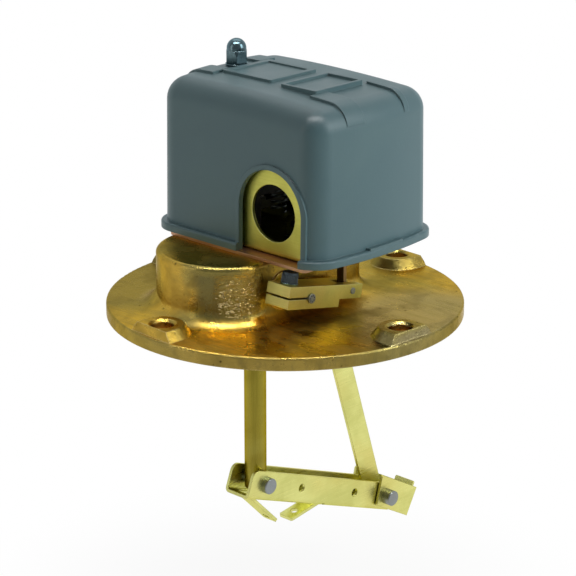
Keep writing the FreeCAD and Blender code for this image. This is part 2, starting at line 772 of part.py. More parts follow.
def end_bracket():
    """U clevis round the lever's nose, open at the back, with a tongue on its web."""
    half = bracket_w / 2
    plan = [Vector(half, -bracket_w, 0), Vector(half, bracket_nose, 0), Vector(-half, bracket_nose, 0),
            Vector(-half, -bracket_w, 0), Vector(bracket_t - half, -bracket_w, 0),
            Vector(bracket_t - half, bracket_nose - bracket_t, 0),
            Vector(half - bracket_t, bracket_nose - bracket_t, 0),
            Vector(half - bracket_t, -bracket_w, 0)]
    bend = bracket_bend_r
    inner_bend = bracket_bend_r - bracket_t
    wire = rounded_wire(plan, [0, bend, bend, 0, 0, inner_bend, inner_bend, 0])
    wire.translate(Vector(0, 0, bracket_low))
    clevis = Part.Face(wire).extrude(Vector(0, 0, bracket_top - bracket_low))
    side = prism([Vector(-bracket_w, bracket_back_low, bracket_low),
                  Vector(-bracket_w, bracket_nose + 1, bracket_low),
                  Vector(-bracket_w, bracket_nose + 1, bracket_top),
                  Vector(-bracket_w, bracket_back_top, bracket_top)],
                 [1.2, 0, 0, 1.2], Vector(2 * bracket_w, 0, 0))
    clevis = clevis.common(side)
    tongue = box(-bracket_tongue_w / 2, bracket_tongue_w / 2, bracket_nose - bracket_t,
                 bracket_nose, bracket_top - 1, bracket_top + bracket_tongue_h)
    tips = edges_at(tongue, lambda e: e.BoundBox.YLength > bracket_t / 2
                    and e.BoundBox.ZMin > bracket_top)
    tongue = tongue.makeFillet(1.0, tips)
    body = fused([clevis, tongue])
    body = body.cut(cyl_x(-bracket_w, bracket_w, 0, 0, pin_d + 2 * seat_fit))
    return turned(body, X_AXIS, bracket_tilt, bar_pin_y, bar_pin_z)


def hanger_post():
    foot_z = pivot_z - post_foot
    body = cyl_z(foot_z, post_seat_depth, 0, pivot_y, post_d)
    low = edges_at(body, lambda e: e.Closed and e.BoundBox.ZMax < foot_z + 0.01)
    body = body.makeChamfer(1.0, low)
    stud = cyl_z(0, post_stud_len, 0, pivot_y, post_stud_d)
    bore = cyl_x(-post_d, post_d, pivot_y, pivot_z, pin_d + 2 * run_fit)
    return fused([body, stud]).cut(bore)


def connecting_bar():
    """Flat bar drawn along +Y from the lower eye, then raised to the crank pin."""
    body = strap_plate(-bar_t / 2, bar_t, bar_run, bar_w, bar_w)
    body = body.cut(cyl_x(-1 - bar_t, 1 + bar_t, 0, 0, pin_d + 2 * run_fit))
    body = body.cut(cyl_x(-1 - bar_t, 1 + bar_t, bar_run, 0, crank_pin_d + 2 * crank_slack))
    return turned(body, X_AXIS, 90 + bar_lean, bar_pin_y, bar_pin_z)


# ---- base plate, frame and what stands on it ----

def screw_drills(z0, z1, gap):
    return [cyl_z(z0, z1, x, y, screw_d + 2 * gap) for x, y in screw_places()]


def link_window(z0, z1):
    half = link_hook_w / 2 + 1.2
    return rect_block(arm_mid_x - half, arm_mid_x + half, link_pin_y - 4.5, link_pin_y + 4.5,
                      z0, z1, 1.5)


def base_plate():
    back = 2 * cover_mid_y - base_y0
    body = rect_block(base_x0, base_x1, base_y0, back, hub_top, base_top, 3.0)
    cutters = screw_drills(hub_top - 1, base_top + 1, 0.2)
    cutters.append(link_window(hub_top - 1, base_top + 1))
    cutters.append(cyl_z(hub_top - 1, base_top + 1, ground_x, ground_y(),
                         terminal_screw_d + 2 * seat_fit))
    return body.cut(Part.makeCompound(cutters))


# the upright plates stand clear of the cover's rounded corner at their outer edge
plate_top_z = arch_z + arch_r + plate_over
inner_corner_r = cover_corner_r - cover_wall
corner_reach = arch_x + arch_r + plate_corner_side - (cover_x1 - cover_corner_r)
corner_sag = inner_corner_r - sqrt(inner_corner_r ** 2 - corner_reach ** 2)
wall_lean = cover_draft * (plate_top_z - base_top) / (cover_top - base_top)
plate_y0 = cover_y0 + cover_wall + wall_lean + corner_sag + frame_gap
plate_y1 = 2 * cover_mid_y - plate_y0


def frame():
    """Folded U: floor, two upright conduit plates and two ears for the rocker pin."""
    x0 = arch_x - arch_r - plate_side
    x1 = arch_x + arch_r + plate_corner_side
    bend = frame_bend_r
    inner = frame_bend_r - frame_t
    section = [Vector(x0, plate_y0, plate_top_z), Vector(x0, plate_y0, base_top),
               Vector(x0, plate_y1, base_top), Vector(x0, plate_y1, plate_top_z),
               Vector(x0, plate_y1 - frame_t, plate_top_z),
               Vector(x0, plate_y1 - frame_t, floor_top),
               Vector(x0, plate_y0 + frame_t, floor_top),
               Vector(x0, plate_y0 + frame_t, plate_top_z)]
    fold = prism(section, [0, bend, bend, 0, 0, inner, inner, 0], Vector(x1 - x0, 0, 0))
    face = rect_block(x0, x1, -plate_top_z, plate_top_z, 0, plate_y1 - plate_y0 + 2,
                      plate_corner_r)
    face.Placement = FreeCAD.Placement(Vector(0, plate_y1 + 1, 0), FreeCAD.Rotation(X_AXIS, 90))
    fold = fold.common(face)
    floor_x0 = cover_x0 + cover_wall + frame_gap
    floor_x1 = cover_x1 - cover_wall - frame_gap
    floor_r = cover_corner_r - cover_wall - frame_gap
    floor_y0 = cover_y0 + cover_wall + frame_gap
    floor = rect_block(floor_x0, floor_x1, floor_y0, 2 * cover_mid_y - floor_y0, base_top,
                       floor_top, floor_r)
    slot_y0 = box(x0, x1, floor_y0 - 1, plate_y0 + bend, base_top - 1, floor_top + 1)
    slot_y1 = box(x0, x1, plate_y1 - bend, plate_y1 + 10, base_top - 1, floor_top + 1)
    body = fused([floor.cut(slot_y0.fuse(slot_y1)), fold] + rocker_ears())
    conduit = cyl_y(plate_y0 - 2, plate_y1 + 2, conduit_x, conduit_z, conduit_d)
    pin = cyl_y(rocker_y - rocker_w, rocker_y + rocker_w, rocker_x, rocker_z,
                rocker_pin_d + 2 * seat_fit)
    cutters = [conduit, pin, link_window(base_top - 1, floor_top + 1)]
    cutters += screw_drills(base_top - 1, floor_top + 1, 0.2)
    cutters.append(cyl_z(base_top - 1, floor_top + 1, stud_x, cover_mid_y,
                         stud_d + 2 * seat_fit))
    cutters.append(cyl_z(base_top - 1, floor_top + 1, ground_x, ground_y(),
                         terminal_screw_d + 2 * seat_fit))
    return body.cut(Part.makeCompound(cutters))


def ear_planes():
    """Inner and outer Y of the rocker's two ears."""
    inner = rocker_w / 2 + rocker_side_gap
    return inner, inner + frame_t


def rocker_ears():
    inner, outer = ear_planes()
    ears = []
    for side in (-1, 1):
        y = rocker_y + (inner if side > 0 else -outer)
        top = rocker_z + ear_rise
        ear = prism([Vector(rocker_x - ear_w / 2, y, base_top + 0.4),
                     Vector(rocker_x + ear_w / 2, y, base_top + 0.4),
                     Vector(rocker_x + ear_w / 2, y, top),
                     Vector(rocker_x - ear_w / 2, y, top)], [0, 0, 3.0, 3.0],
                    Vector(0, frame_t, 0))
        ears.append(ear)
    return ears


def ground_y():
    return cover_mid_y + screw_half_y


def base_screws():
    screws = []
    for x, y in screw_places():
        shank = cyl_z(hub_top - hub_roof - 3, floor_top + 1, x, y, screw_d)
        head = cyl_z(floor_top, floor_top + screw_head_h, x, y, screw_head_d)
        rim = edges_at(head, lambda e: e.Closed
                       and e.BoundBox.ZMin > floor_top + screw_head_h - 0.01)
        head = head.makeChamfer(0.9, rim)
        slot = box(x - screw_head_d, x + screw_head_d, y - 0.6, y + 0.6,
                   floor_top + screw_head_h - 1.1, floor_top + screw_head_h + 1)
        screws.append(fused([shank, head]).cut(slot))
    return Part.makeCompound(screws)


def slotted_screw(x, y, z_seat, z_tip, shank_d, head_d, head_h):
    shank = cyl_z(z_tip, z_seat + 1, x, y, shank_d)
    head = cyl_z(z_seat, z_seat + head_h, x, y, head_d)
    slot = box(x - head_d, x + head_d, y - 0.5, y + 0.5, z_seat + head_h - 1.0,
               z_seat + head_h + 1)
    return fused([shank, head]).cut(slot)


def ground_screw():
    return slotted_screw(ground_x, ground_y(), floor_top, base_top - base_t + 0.2,
                         terminal_screw_d, terminal_head_d, terminal_head_h)


# ---- cover ----

def cover_plan(grow, z, r):
    """Plan of the cover: straight long sides, swelling short sides, round corners."""
    half = (cover_y1 - cover_y0) / 2
    bow_r = (half ** 2 + side_bow ** 2) / (2 * side_bow) + grow
    half += grow
    corners = {}
    for side, end_x in ((-1, cover_x0), (1, cover_x1)):
        hub = Vector(end_x + side * (side_bow + grow - bow_r), cover_mid_y, z)
        for way in (-1, 1):
            run = side * sqrt((bow_r - r) ** 2 - (half - r) ** 2)
            middle = hub + Vector(run, way * (half - r), 0)
            out = (middle - hub).normalize()
            corner = (out + Vector(0, way, 0)).normalize()
            corners[side, way] = (middle + Vector(0, way * r, 0), middle + corner * r,
                                  middle + out * r)
    right = Vector(cover_x1 + side_bow + grow, cover_mid_y, z)
    left = Vector(cover_x0 - side_bow - grow, cover_mid_y, z)
    front_left = corners[-1, -1]
    front_right = corners[1, -1]
    back_right = corners[1, 1]
    back_left = corners[-1, 1]
    edges = [Part.LineSegment(front_left[0], front_right[0]).toShape(),
             Part.Arc(*front_right).toShape(),
             Part.Arc(front_right[2], right, back_right[2]).toShape(),
             Part.Arc(back_right[2], back_right[1], back_right[0]).toShape(),
             Part.LineSegment(back_right[0], back_left[0]).toShape(),
             Part.Arc(*back_left).toShape(),
             Part.Arc(back_left[2], left, front_left[2]).toShape(),
             Part.Arc(front_left[2], front_left[1], front_left[0]).toShape()]
    return Part.Wire(edges)


def cover_form(grow, z0, z1):
    """Drafted box on that plan with a crowned, rounded top, grown outwards all round."""
    draft = cover_draft * (z1 - z0) / (cover_top - base_top)
    r = cover_corner_r + grow
    low = cover_plan(grow, z0, r)
    high = cover_plan(grow - draft, z1, r)
    body = Part.makeLoft([low, high], True, True)
    crown_middle = Vector(top_crown_x, cover_mid_y, cover_top - top_crown_r)
    body = body.common(Part.makeSphere(z1 - crown_middle.z, crown_middle))
    top = edges_at(body, lambda e: e.BoundBox.ZMin > z1 - cover_top_r)
    return body.makeFillet(cover_top_r + min(grow, 0.0), top)


def lip_form(grow, height):
    face = Part.Face(cover_plan(grow, base_top, cover_corner_r + grow))
    return face.extrude(Vector(0, 0, height))


def arch_prism(r, y0, y1, z_low):
    """Inverted U: half disc on straight sides, run through along Y."""
    round_top = cyl_y(y0, y1, arch_x, arch_z, 2 * r)
    legs = box(arch_x - r, arch_x + r, y0, y1, z_low, arch_z)
    return round_top.fuse(legs)


def cover_shell():
    outer = cover_form(0.0, base_top, cover_top)
    lip = lip_form(lip_out, lip_h)
    edge = edges_at(lip, lambda e: e.BoundBox.ZMin > base_top + lip_h - 1e-4)
    lip = lip.makeFillet(lip_r, edge)
    proud = cover_form(bead_rise, base_top, cover_top + bead_rise)
    ring = arch_prism(arch_r + bead_w, cover_y0 - 6, cover_y1 + 6, base_top)
    bead = proud.common(ring)
    raised = cover_form(0.0, base_top, cover_top + band_rise)
    raised = raised.common(Part.makeCompound(top_bands()))
    body = fused([outer, lip, lip_step(), bead, raised, top_panel(), label_panel()])
    inner = cover_form(-cover_wall, base_top, cover_top - cover_wall)
    arch = arch_prism(arch_r, cover_y0 - 8, cover_y1 + 8, base_top - 1)
    stud = cyl_z(cover_top - 6, cover_top + 3, stud_x, cover_mid_y, stud_d + 0.6)
    return body.cut(inner).cut(arch).cut(stud)


def lip_step():
    """Taller stretch of the lip on the shaft side, with a small notch at its near end."""
    stretch = box(cover_x1 - 1, cover_x1 + 20, step_y0 + step_notch, step_y0 + step_len,
                  base_top, cover_top)
    return lip_form(lip_out - step_inset, lip_h + step_rise).common(stretch)


def top_bands():
    """Two raised bands by the nut, and on the shaft side one field split by two grooves."""
    z0 = cover_top - cover_top_r
    z1 = cover_top + 3
    bands = []
    for side in (-1, 1):
        near = cover_mid_y + side * band_near
        far = cover_mid_y + side * band_far
        bands.append(box(cover_x0 - 20, panel_x0 - 1, min(near, far), max(near, far), z0, z1))
    x0 = label_x0 + label_len - 0.5
    half = groove_w / 2
    spans = [(-field_half, groove_near - half), (groove_near + half, groove_far - half),
             (groove_far + half, field_half)]
    for start, end in spans:
        bands.append(box(x0, cover_x1 + 20, cover_mid_y + start, cover_mid_y + end, z0, z1))
    return bands


def top_panel():
    """Raised square panel with a plain shallow field."""
    x1 = panel_x0 + panel_side
    y0 = cover_mid_y - panel_side / 2
    y1 = cover_mid_y + panel_side / 2
    panel = rect_block(panel_x0, x1, y0, y1, cover_top - 2, cover_top + panel_rise, 1.5)
    field = rect_block(panel_x0 + panel_rim, x1 - panel_rim, y0 + panel_rim, y1 - panel_rim,
                       cover_top + panel_floor, cover_top + 2, 0.8)
    return panel.cut(field)


def label_panel():
    """Plain rectangular field inside a raised rim."""
    x1 = label_x0 + label_len
    y0 = cover_mid_y + label_shift - label_w / 2
    y1 = y0 + label_w
    rim = rect_block(label_x0, x1, y0, y1, cover_top - 2, cover_top + panel_rise, 1.5)
    field = rect_block(label_x0 + label_rim, x1 - label_rim, y0 + label_rim, y1 - label_rim,
                       cover_top + label_floor, cover_top + 2, 0.8)
    return rim.cut(field)


def cover_stud():
    """Long stud from under the floor to inside the acorn nut."""
    return cyl_z(base_top + 0.2, cover_top + stud_above, stud_x, cover_mid_y, stud_d)


def stud_nut():
    body = hex_z(floor_top, floor_top + foot_nut_t, stud_x, cover_mid_y, foot_nut_af)
    return body.cut(cyl_z(floor_top - 1, floor_top + foot_nut_t + 1, stud_x, cover_mid_y,
                          stud_d + 2 * seat_fit))


def acorn_washer():
    ring = cyl_z(cover_top, cover_top + acorn_washer_t, stud_x, cover_mid_y, acorn_washer_d)
    return ring.cut(cyl_z(cover_top - 1, cover_top + 2, stud_x, cover_mid_y,
                          stud_d + 0.4))


def acorn_nut():
    """Hexagon below, domed cap above, tapped blind from below."""
    z0 = cover_top + acorn_washer_t
    cap_r = acorn_af / 2 - 0.15
    hexagon = hex_z(z0, z0 + acorn_hex_h, stud_x, cover_mid_y, acorn_af, 15)
    cone = Part.makeCone(acorn_af * 0.62, acorn_af * 0.50, acorn_hex_h,
                         Vector(stud_x, cover_mid_y, z0 + 1.2), Z_AXIS)
    skirt = cyl_z(z0, z0 + 1.3, stud_x, cover_mid_y, acorn_af * 1.24)
    hexagon = hexagon.common(cone.fuse(skirt))
    neck = cyl_z(z0 + acorn_hex_h - 1, z0 + acorn_h - cap_r, stud_x, cover_mid_y, 2 * cap_r)
    dome = Part.makeSphere(cap_r, Vector(stud_x, cover_mid_y, z0 + acorn_h - cap_r))
    upper = box(stud_x - cap_r - 1, stud_x + cap_r + 1, cover_mid_y - cap_r - 1,
                cover_mid_y + cap_r + 1, z0 + acorn_h - cap_r, z0 + acorn_h + 1)
    body = fused([hexagon, neck, dome.common(upper)])
    return body.cut(cyl_z(z0 - 1, cover_top + stud_above + 0.4, stud_x, cover_mid_y,
                          stud_d + 2 * seat_fit))


# ---- rocker and contacts ----

contact_x = rocker_x - contact_arm
carrier_z0 = rocker_z + rocker_t / 2
bridge_z0 = carrier_z0 + carrier_h
tip_top = bridge_z0 + bridge_strip_t + contact_tip_h
fixed_tip_z = tip_top + (contact_arm + contact_tip_d / 2) * sin(radians(rocker_swing)) + contact_gap
slab_z0 = fixed_tip_z + contact_tip_h
slab_z1 = slab_z0 + block_slab_t


def rocker_arm_plate():
    """Rocking strip with an eye for its pin and a fork round the link strap."""
    x1 = arm_mid_x + link_w / 2 + 2.6
    strip = rect_block(rocker_x - rocker_tail, x1, rocker_y - rocker_w / 2,
                       rocker_y + rocker_w / 2, rocker_z - rocker_t / 2,
                       rocker_z + rocker_t / 2, 1.5)
    eye = cyl_y(rocker_y - rocker_w / 2, rocker_y + rocker_w / 2, rocker_x, rocker_z,
                rocker_eye_d)
    slot = box(arm_mid_x - link_w / 2 - 0.8, x1 + 1, link_pin_y - link_t / 2 - 1.6,
               link_pin_y + link_t / 2 + 1.6, rocker_z - 3, rocker_z + 3)
    hole = cyl_y(rocker_y - rocker_w, rocker_y + rocker_w, rocker_x, rocker_z,
                 rocker_pin_d + 2 * run_fit)
    return fused([strip, eye]).cut(slot.fuse(hole))


def rocker_pin():
    outer = ear_planes()[1]
    return cyl_y(rocker_y - outer - 0.8, rocker_y + outer + 0.8, rocker_x, rocker_z,
                 rocker_pin_d)


def contact_carrier():
    """Insulating cross bar on the rocker's tail, with a groove for each bridge."""
    body = box(contact_x - carrier_w / 2, contact_x + carrier_w / 2, cover_mid_y - carrier_half,
               cover_mid_y + carrier_half, carrier_z0, carrier_z0 + carrier_h)
    groove = box(contact_x - carrier_w, contact_x + carrier_w, cover_mid_y - 2.5,
                 cover_mid_y + 2.5, carrier_z0 + carrier_h - 2, carrier_z0 + carrier_h + 1)
    return body.cut(groove)


def contact_bridges():
    bridges = []
    for a, b in (contact_y[0:2], contact_y[2:4]):
        strip = box(contact_x - bridge_strip_w / 2, contact_x + bridge_strip_w / 2,
                    cover_mid_y + a - 3, cover_mid_y + b + 3, bridge_z0,
                    bridge_z0 + bridge_strip_t)
        tips = [cyl_z(bridge_z0 + bridge_strip_t / 2, tip_top, contact_x, cover_mid_y + y,
                      contact_tip_d) for y in (a, b)]
        bridges.append(fused([strip] + tips))
    return Part.makeCompound(bridges)


def contact_block():
    """Moulded bridge: slab on two legs, barriers between the terminals."""
    slab = box(block_x0, block_x1, cover_mid_y - block_half, cover_mid_y + block_half, slab_z0,
               slab_z1)
    parts = [slab]
    for side in (-1, 1):
        edge = cover_mid_y + side * block_half
        y0 = min(edge, edge - side * block_leg)
        parts.append(box(block_x0, block_x1, y0, y0 + block_leg, floor_top, slab_z0 + 1))
    half_pitch = (contact_y[1] - contact_y[0]) / 2
    for y in (contact_y[0] - half_pitch, contact_y[0] + half_pitch, 0,
              contact_y[3] - half_pitch, contact_y[3] + half_pitch):
        mid = cover_mid_y + y
        parts.append(box(block_x0 + 12, block_x1, mid - barrier_t / 2, mid + barrier_t / 2,
                         slab_z1 - 1, slab_z1 + barrier_h))
    body = fused(parts)
    holes = []
    for y in contact_y:
        holes.append(cyl_z(slab_z0 - 1, slab_z1 + 1, contact_x, cover_mid_y + y,
                           2.4 + 2 * seat_fit))
        holes.append(cyl_z(slab_z1 - 7, slab_z1 + 1, terminal_x, cover_mid_y + y,
                           terminal_screw_d + 2 * seat_fit))
    holes.append(cyl_z(slab_z0 - 1, slab_z0 + 1.5, rocker_x - spring_arm, rocker_y,
                       spring_d + 0.6))
    return body.cut(Part.makeCompound(holes))


def fixed_contacts():
    """Terminal strip on the slab, rivet through it and a contact tip beneath."""
    contacts = []
    for y in contact_y:
        mid = cover_mid_y + y
        strip = box(contact_x - 3, terminal_x + 5, mid - terminal_strip_w / 2,
                    mid + terminal_strip_w / 2, slab_z1, slab_z1 + terminal_strip_t)
        rivet = cyl_z(fixed_tip_z + 0.5, slab_z1 + terminal_strip_t + 0.6, contact_x, mid, 2.4)
        tip = cyl_z(fixed_tip_z, slab_z0, contact_x, mid, contact_tip_d)
        hole = cyl_z(slab_z1 - 1, slab_z1 + 3, terminal_x, mid, terminal_screw_d + 2 * seat_fit)
        contacts.append(fused([strip, rivet, tip]).cut(hole))
    return Part.makeCompound(contacts)


def terminal_screws():
    screws = []
    for y in contact_y:
        screws.append(slotted_screw(terminal_x, cover_mid_y + y, slab_z1 + terminal_strip_t,
                                    slab_z1 - terminal_screw_len, terminal_screw_d, terminal_head_d,
                                    terminal_head_h))
    return Part.makeCompound(screws)


def range_spring():
    """Compression spring between the block and the rocker's tail."""
    z0 = rocker_z + rocker_t / 2 + spring_wire / 2 + 0.1
    z1 = slab_z0 + 1.5 - spring_wire / 2 - 0.1
    r = (spring_d - spring_wire) / 2
    helix = Part.makeHelix((z1 - z0) / spring_turns, z1 - z0, r)
    start = helix.Edges[0].valueAt(helix.Edges[0].FirstParameter)
    circle = Part.Wire(Part.makeCircle(spring_wire / 2, start, Vector(0, 1, 0)))
    coil = Part.Wire(helix.Edges).makePipeShell([circle], True, True)
    coil.translate(Vector(rocker_x - spring_arm, rocker_y, z0))
    return coil


parts = {
    "flange_casting": flange_casting,
    "hanger_post": hanger_post,
    "gland_nut": gland_nut,
    "packing_ring": packing_ring,
    "shaft": shaft,
    "crank_arm": crank_arm,
    "crank_set_screw": crank_set_screw,
    "crank_pin": crank_pin,
    "clamp_arm": clamp_arm,
    "clamp_screw": clamp_screw,
    "clamp_washer": clamp_washer,
    "link_pin": link_pin,
    "link_strap": link_strap,
    "float_lever": float_lever,
    "pivot_pin": pivot_pin,
    "bar_pin": bar_pin,
    "bar_spacers": bar_spacers,
    "end_bracket": end_bracket,
    "connecting_bar": connecting_bar,
    "base_plate": base_plate,
    "frame": frame,
    "base_screws": base_screws,
    "ground_screw": ground_screw,
    "cover": cover_shell,
    "cover_stud": cover_stud,
    "stud_nut": stud_nut,
    "acorn_washer": acorn_washer,
    "acorn_nut": acorn_nut,
    "rocker_arm": rocker_arm_plate,
    "rocker_pin": rocker_pin,
    "contact_carrier": contact_carrier,
    "contact_bridges": contact_bridges,
    "contact_block": contact_block,
    "fixed_contacts": fixed_contacts,
    "terminal_screws": terminal_screws,
    "range_spring": range_spring,
}

os.makedirs("parts", exist_ok=True)
for name, make in parts.items():
    shape = make()
    if not shape.isValid():
        print("not valid:", name)
    shape.exportStep("parts/" + name + ".step")
    print(name, len(shape.Solids), "solids,", round(shape.Volume), "mm3")
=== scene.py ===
import bpy
import json
import math
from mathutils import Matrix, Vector


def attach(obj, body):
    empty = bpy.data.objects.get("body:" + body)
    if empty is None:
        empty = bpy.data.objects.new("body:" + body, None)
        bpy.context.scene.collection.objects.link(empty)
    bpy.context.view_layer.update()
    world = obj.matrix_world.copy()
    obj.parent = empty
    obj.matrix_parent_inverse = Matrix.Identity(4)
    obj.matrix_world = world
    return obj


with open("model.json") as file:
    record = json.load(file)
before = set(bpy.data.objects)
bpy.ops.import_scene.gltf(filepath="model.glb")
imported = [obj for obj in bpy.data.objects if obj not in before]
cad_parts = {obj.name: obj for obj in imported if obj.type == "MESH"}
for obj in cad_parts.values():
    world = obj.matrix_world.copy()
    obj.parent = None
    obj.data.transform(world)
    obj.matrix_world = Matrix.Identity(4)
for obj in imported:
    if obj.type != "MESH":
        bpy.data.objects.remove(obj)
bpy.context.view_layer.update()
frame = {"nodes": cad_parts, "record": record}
print("frame loaded:", len(frame["nodes"]), "nodes")

# camera: long lens, looking down on the flange from the shaft side
camera = {
    "azimuth": 43.6,        # degrees from -Y towards +X
    "elevation": 18.66,
    "distance": 1.097,
    "aimRight": 0.00142,    # the point looked at, from the flange centre
    "aimUp": 0.00993,
    "lens": 137.5,
    "clipEnd": 20.0,
}


def placeCamera(values):
    azimuth = math.radians(values["azimuth"])
    elevation = math.radians(values["elevation"])
    back = Vector((math.sin(azimuth) * math.cos(elevation),
                   -math.cos(azimuth) * math.cos(elevation), math.sin(elevation)))
    right = Vector((math.cos(azimuth), math.sin(azimuth), 0.0))
    up = back.cross(right)
    aim = right * values["aimRight"] + up * values["aimUp"]
    data = bpy.data.cameras.new("camera")
    data.lens = values["lens"]
    data.clip_end = values["clipEnd"]
    eye = bpy.data.objects.new("camera", data)
    eye.location = aim + back * values["distance"]
    eye.rotation_euler = back.to_track_quat("Z", "Y").to_euler()
    bpy.context.scene.collection.objects.link(eye)
    bpy.context.scene.camera = eye
    return back, right


back, right = placeCamera(camera)
print("camera placed")


# node helpers

def plug(tree, socket, value):
    if isinstance(value, bpy.types.NodeSocket):
        tree.links.new(value, socket)
    else:
        socket.default_value = value


def addNode(tree, kind, sockets=None, **settings):
    made = tree.nodes.new(kind)
    for name, value in settings.items():
        setattr(made, name, value)
    for name, value in (sockets or {}).items():
        plug(tree, made.inputs[name], value)
    return made


def mathNode(tree, operation, a, b=0.0, clamp=False):
    made = addNode(tree, "ShaderNodeMath", operation=operation, use_clamp=clamp)
    plug(tree, made.inputs[0], a)
    plug(tree, made.inputs[1], b)
    return made.outputs[0]


def mixColour(tree, mask, a, b, blend="MIX"):
    made = addNode(tree, "ShaderNodeMix", data_type="RGBA", blend_type=blend)
    plug(tree, made.inputs[0], mask)
    plug(tree, made.inputs[6], a)
    plug(tree, made.inputs[7], b)
    return made.outputs[2]


def rgb(red, green, blue):
    return (red, green, blue, 1.0)


def ramp(tree, value, low, high, toLow=0.0, toHigh=1.0):
    made = addNode(tree, "ShaderNodeMapRange", {"Value": value, "From Min": low, "From Max": high,
                                                "To Min": toLow, "To Max": toHigh})
    made.interpolation_type = "SMOOTHSTEP"
    return made.outputs["Result"]


def newGroup(name, inputs, outputs):
    tree = bpy.data.node_groups.new(name, "ShaderNodeTree")
    for label, kind, start in inputs:
        socket = tree.interface.new_socket(label, in_out="INPUT", socket_type=kind)
        if start is not None:
            socket.default_value = start
    for label, kind in outputs:
        tree.interface.new_socket(label, in_out="OUTPUT", socket_type=kind)
    return tree, tree.nodes.new("NodeGroupInput").outputs, tree.nodes.new("NodeGroupOutput").inputs


def useGroup(tree, group, **values):
    made = tree.nodes.new("ShaderNodeGroup")
    made.node_tree = group
    for name, value in values.items():
        plug(tree, made.inputs[name], value)
    return made.outputs


# shared shader groups

def buildCloud():
    tree, given, result = newGroup("cloud", [("Vector", "NodeSocketVector", None),
                                             ("Scale", "NodeSocketFloat", 30.0),
                                             ("Detail", "NodeSocketFloat", 4.0),
                                             ("Low", "NodeSocketFloat", 0.4),
                                             ("High", "NodeSocketFloat", 0.6)],
                                   [("Mask", "NodeSocketFloat"), ("Raw", "NodeSocketFloat")])
    noise = addNode(tree, "ShaderNodeTexNoise", {"Vector": given["Vector"], "Scale": given["Scale"],
                                                 "Detail": given["Detail"], "Distortion": 0.4})
    tree.links.new(ramp(tree, noise.outputs["Fac"], given["Low"], given["High"]), result["Mask"])
    tree.links.new(noise.outputs["Fac"], result["Raw"])
    return tree


def buildEdge():
    # a mask that is 1 on edges, used for wear and for painted edge highlights and shade, and the
    # softened normal that goes with it
    tree, given, result = newGroup("edge", [("Vector", "NodeSocketVector", None),
                                            ("Radius", "NodeSocketFloat", 0.0006),
                                            ("Breakup", "NodeSocketFloat", 300.0),
                                            ("Gain", "NodeSocketFloat", 3.0)],
                                   [("Mask", "NodeSocketFloat"), ("Normal", "NodeSocketVector")])
    bevel = addNode(tree, "ShaderNodeBevel", {"Radius": given["Radius"]}, samples=4)
    plain = addNode(tree, "ShaderNodeNewGeometry")
    dot = addNode(tree, "ShaderNodeVectorMath", operation="DOT_PRODUCT")
    tree.links.new(bevel.outputs["Normal"], dot.inputs[0])
    tree.links.new(plain.outputs["Normal"], dot.inputs[1])
    turn = mathNode(tree, "SUBTRACT", 1.0, dot.outputs["Value"])
    noise = addNode(tree, "ShaderNodeTexNoise", {"Vector": given["Vector"], "Scale": given["Breakup"],
                                                 "Detail": 3.0})
    torn = ramp(tree, noise.outputs["Fac"], 0.35, 0.65, 0.35, 1.0)
    gained = mathNode(tree, "MULTIPLY", mathNode(tree, "MULTIPLY", turn, given["Gain"]), torn, True)
    tree.links.new(gained, result["Mask"])
    tree.links.new(bevel.outputs["Normal"], result["Normal"])
    return tree


def buildBrush():
    # fine lines along one axis: the vector is scaled so the lines stretch along it
    tree, given, result = newGroup("brush", [("Vector", "NodeSocketVector", None),
                                             ("Stretch", "NodeSocketVector", (20.0, 1200.0, 1200.0))],
                                   [("Height", "NodeSocketFloat")])
    scaled = addNode(tree, "ShaderNodeVectorMath", operation="MULTIPLY")
    tree.links.new(given["Vector"], scaled.inputs[0])
    tree.links.new(given["Stretch"], scaled.inputs[1])
    noise = addNode(tree, "ShaderNodeTexNoise", {"Vector": scaled.outputs["Vector"], "Scale": 1.0,
                                                 "Detail": 3.0, "Roughness": 0.7})
    tree.links.new(noise.outputs["Fac"], result["Height"])
    return tree


def buildCastSkin():
    # lumps and pits of a sand casting
    tree, given, result = newGroup("castSkin", [("Vector", "NodeSocketVector", None),
                                                ("Grain", "NodeSocketFloat", 700.0),
                                                ("Pits", "NodeSocketFloat", 260.0)],
                                   [("Height", "NodeSocketFloat"), ("Pit", "NodeSocketFloat")])
    noise = addNode(tree, "ShaderNodeTexNoise", {"Vector": given["Vector"], "Scale": given["Grain"],
                                                 "Detail": 5.0, "Roughness": 0.62})
    cells = addNode(tree, "ShaderNodeTexVoronoi", {"Vector": given["Vector"], "Scale": given["Pits"],
                                                   "Randomness": 1.0})
    pit = ramp(tree, cells.outputs["Distance"], 0.05, 0.30)
    sparse = addNode(tree, "ShaderNodeTexNoise", {"Vector": given["Vector"], "Scale": given["Pits"],
                                                  "Detail": 1.0})
    few = ramp(tree, sparse.outputs["Fac"], 0.58, 0.66)
    hole = mathNode(tree, "MULTIPLY", mathNode(tree, "SUBTRACT", 1.0, pit), few)
    height = mathNode(tree, "SUBTRACT", noise.outputs["Fac"], mathNode(tree, "MULTIPLY", hole, 0.7))
    tree.links.new(height, result["Height"])
    tree.links.new(hole, result["Pit"])
    return tree


cloud = buildCloud()
edge = buildEdge()
brush = buildBrush()
castSkin = buildCastSkin()
print("shader groups built")


def newMaterial(name):
    made = bpy.data.materials.new(name)
    made.use_nodes = True
    tree = made.node_tree
    shader = tree.nodes["Principled BSDF"]
    place = addNode(tree, "ShaderNodeTexCoord").outputs["Object"]
    return made, tree, shader, place


def bump(tree, height, strength, distance, normal=None):
    made = addNode(tree, "ShaderNodeBump", {"Height": height, "Strength": strength,
                                            "Distance": distance})
    if normal is not None:
        tree.links.new(normal, made.inputs["Normal"])
    return made.outputs["Normal"]


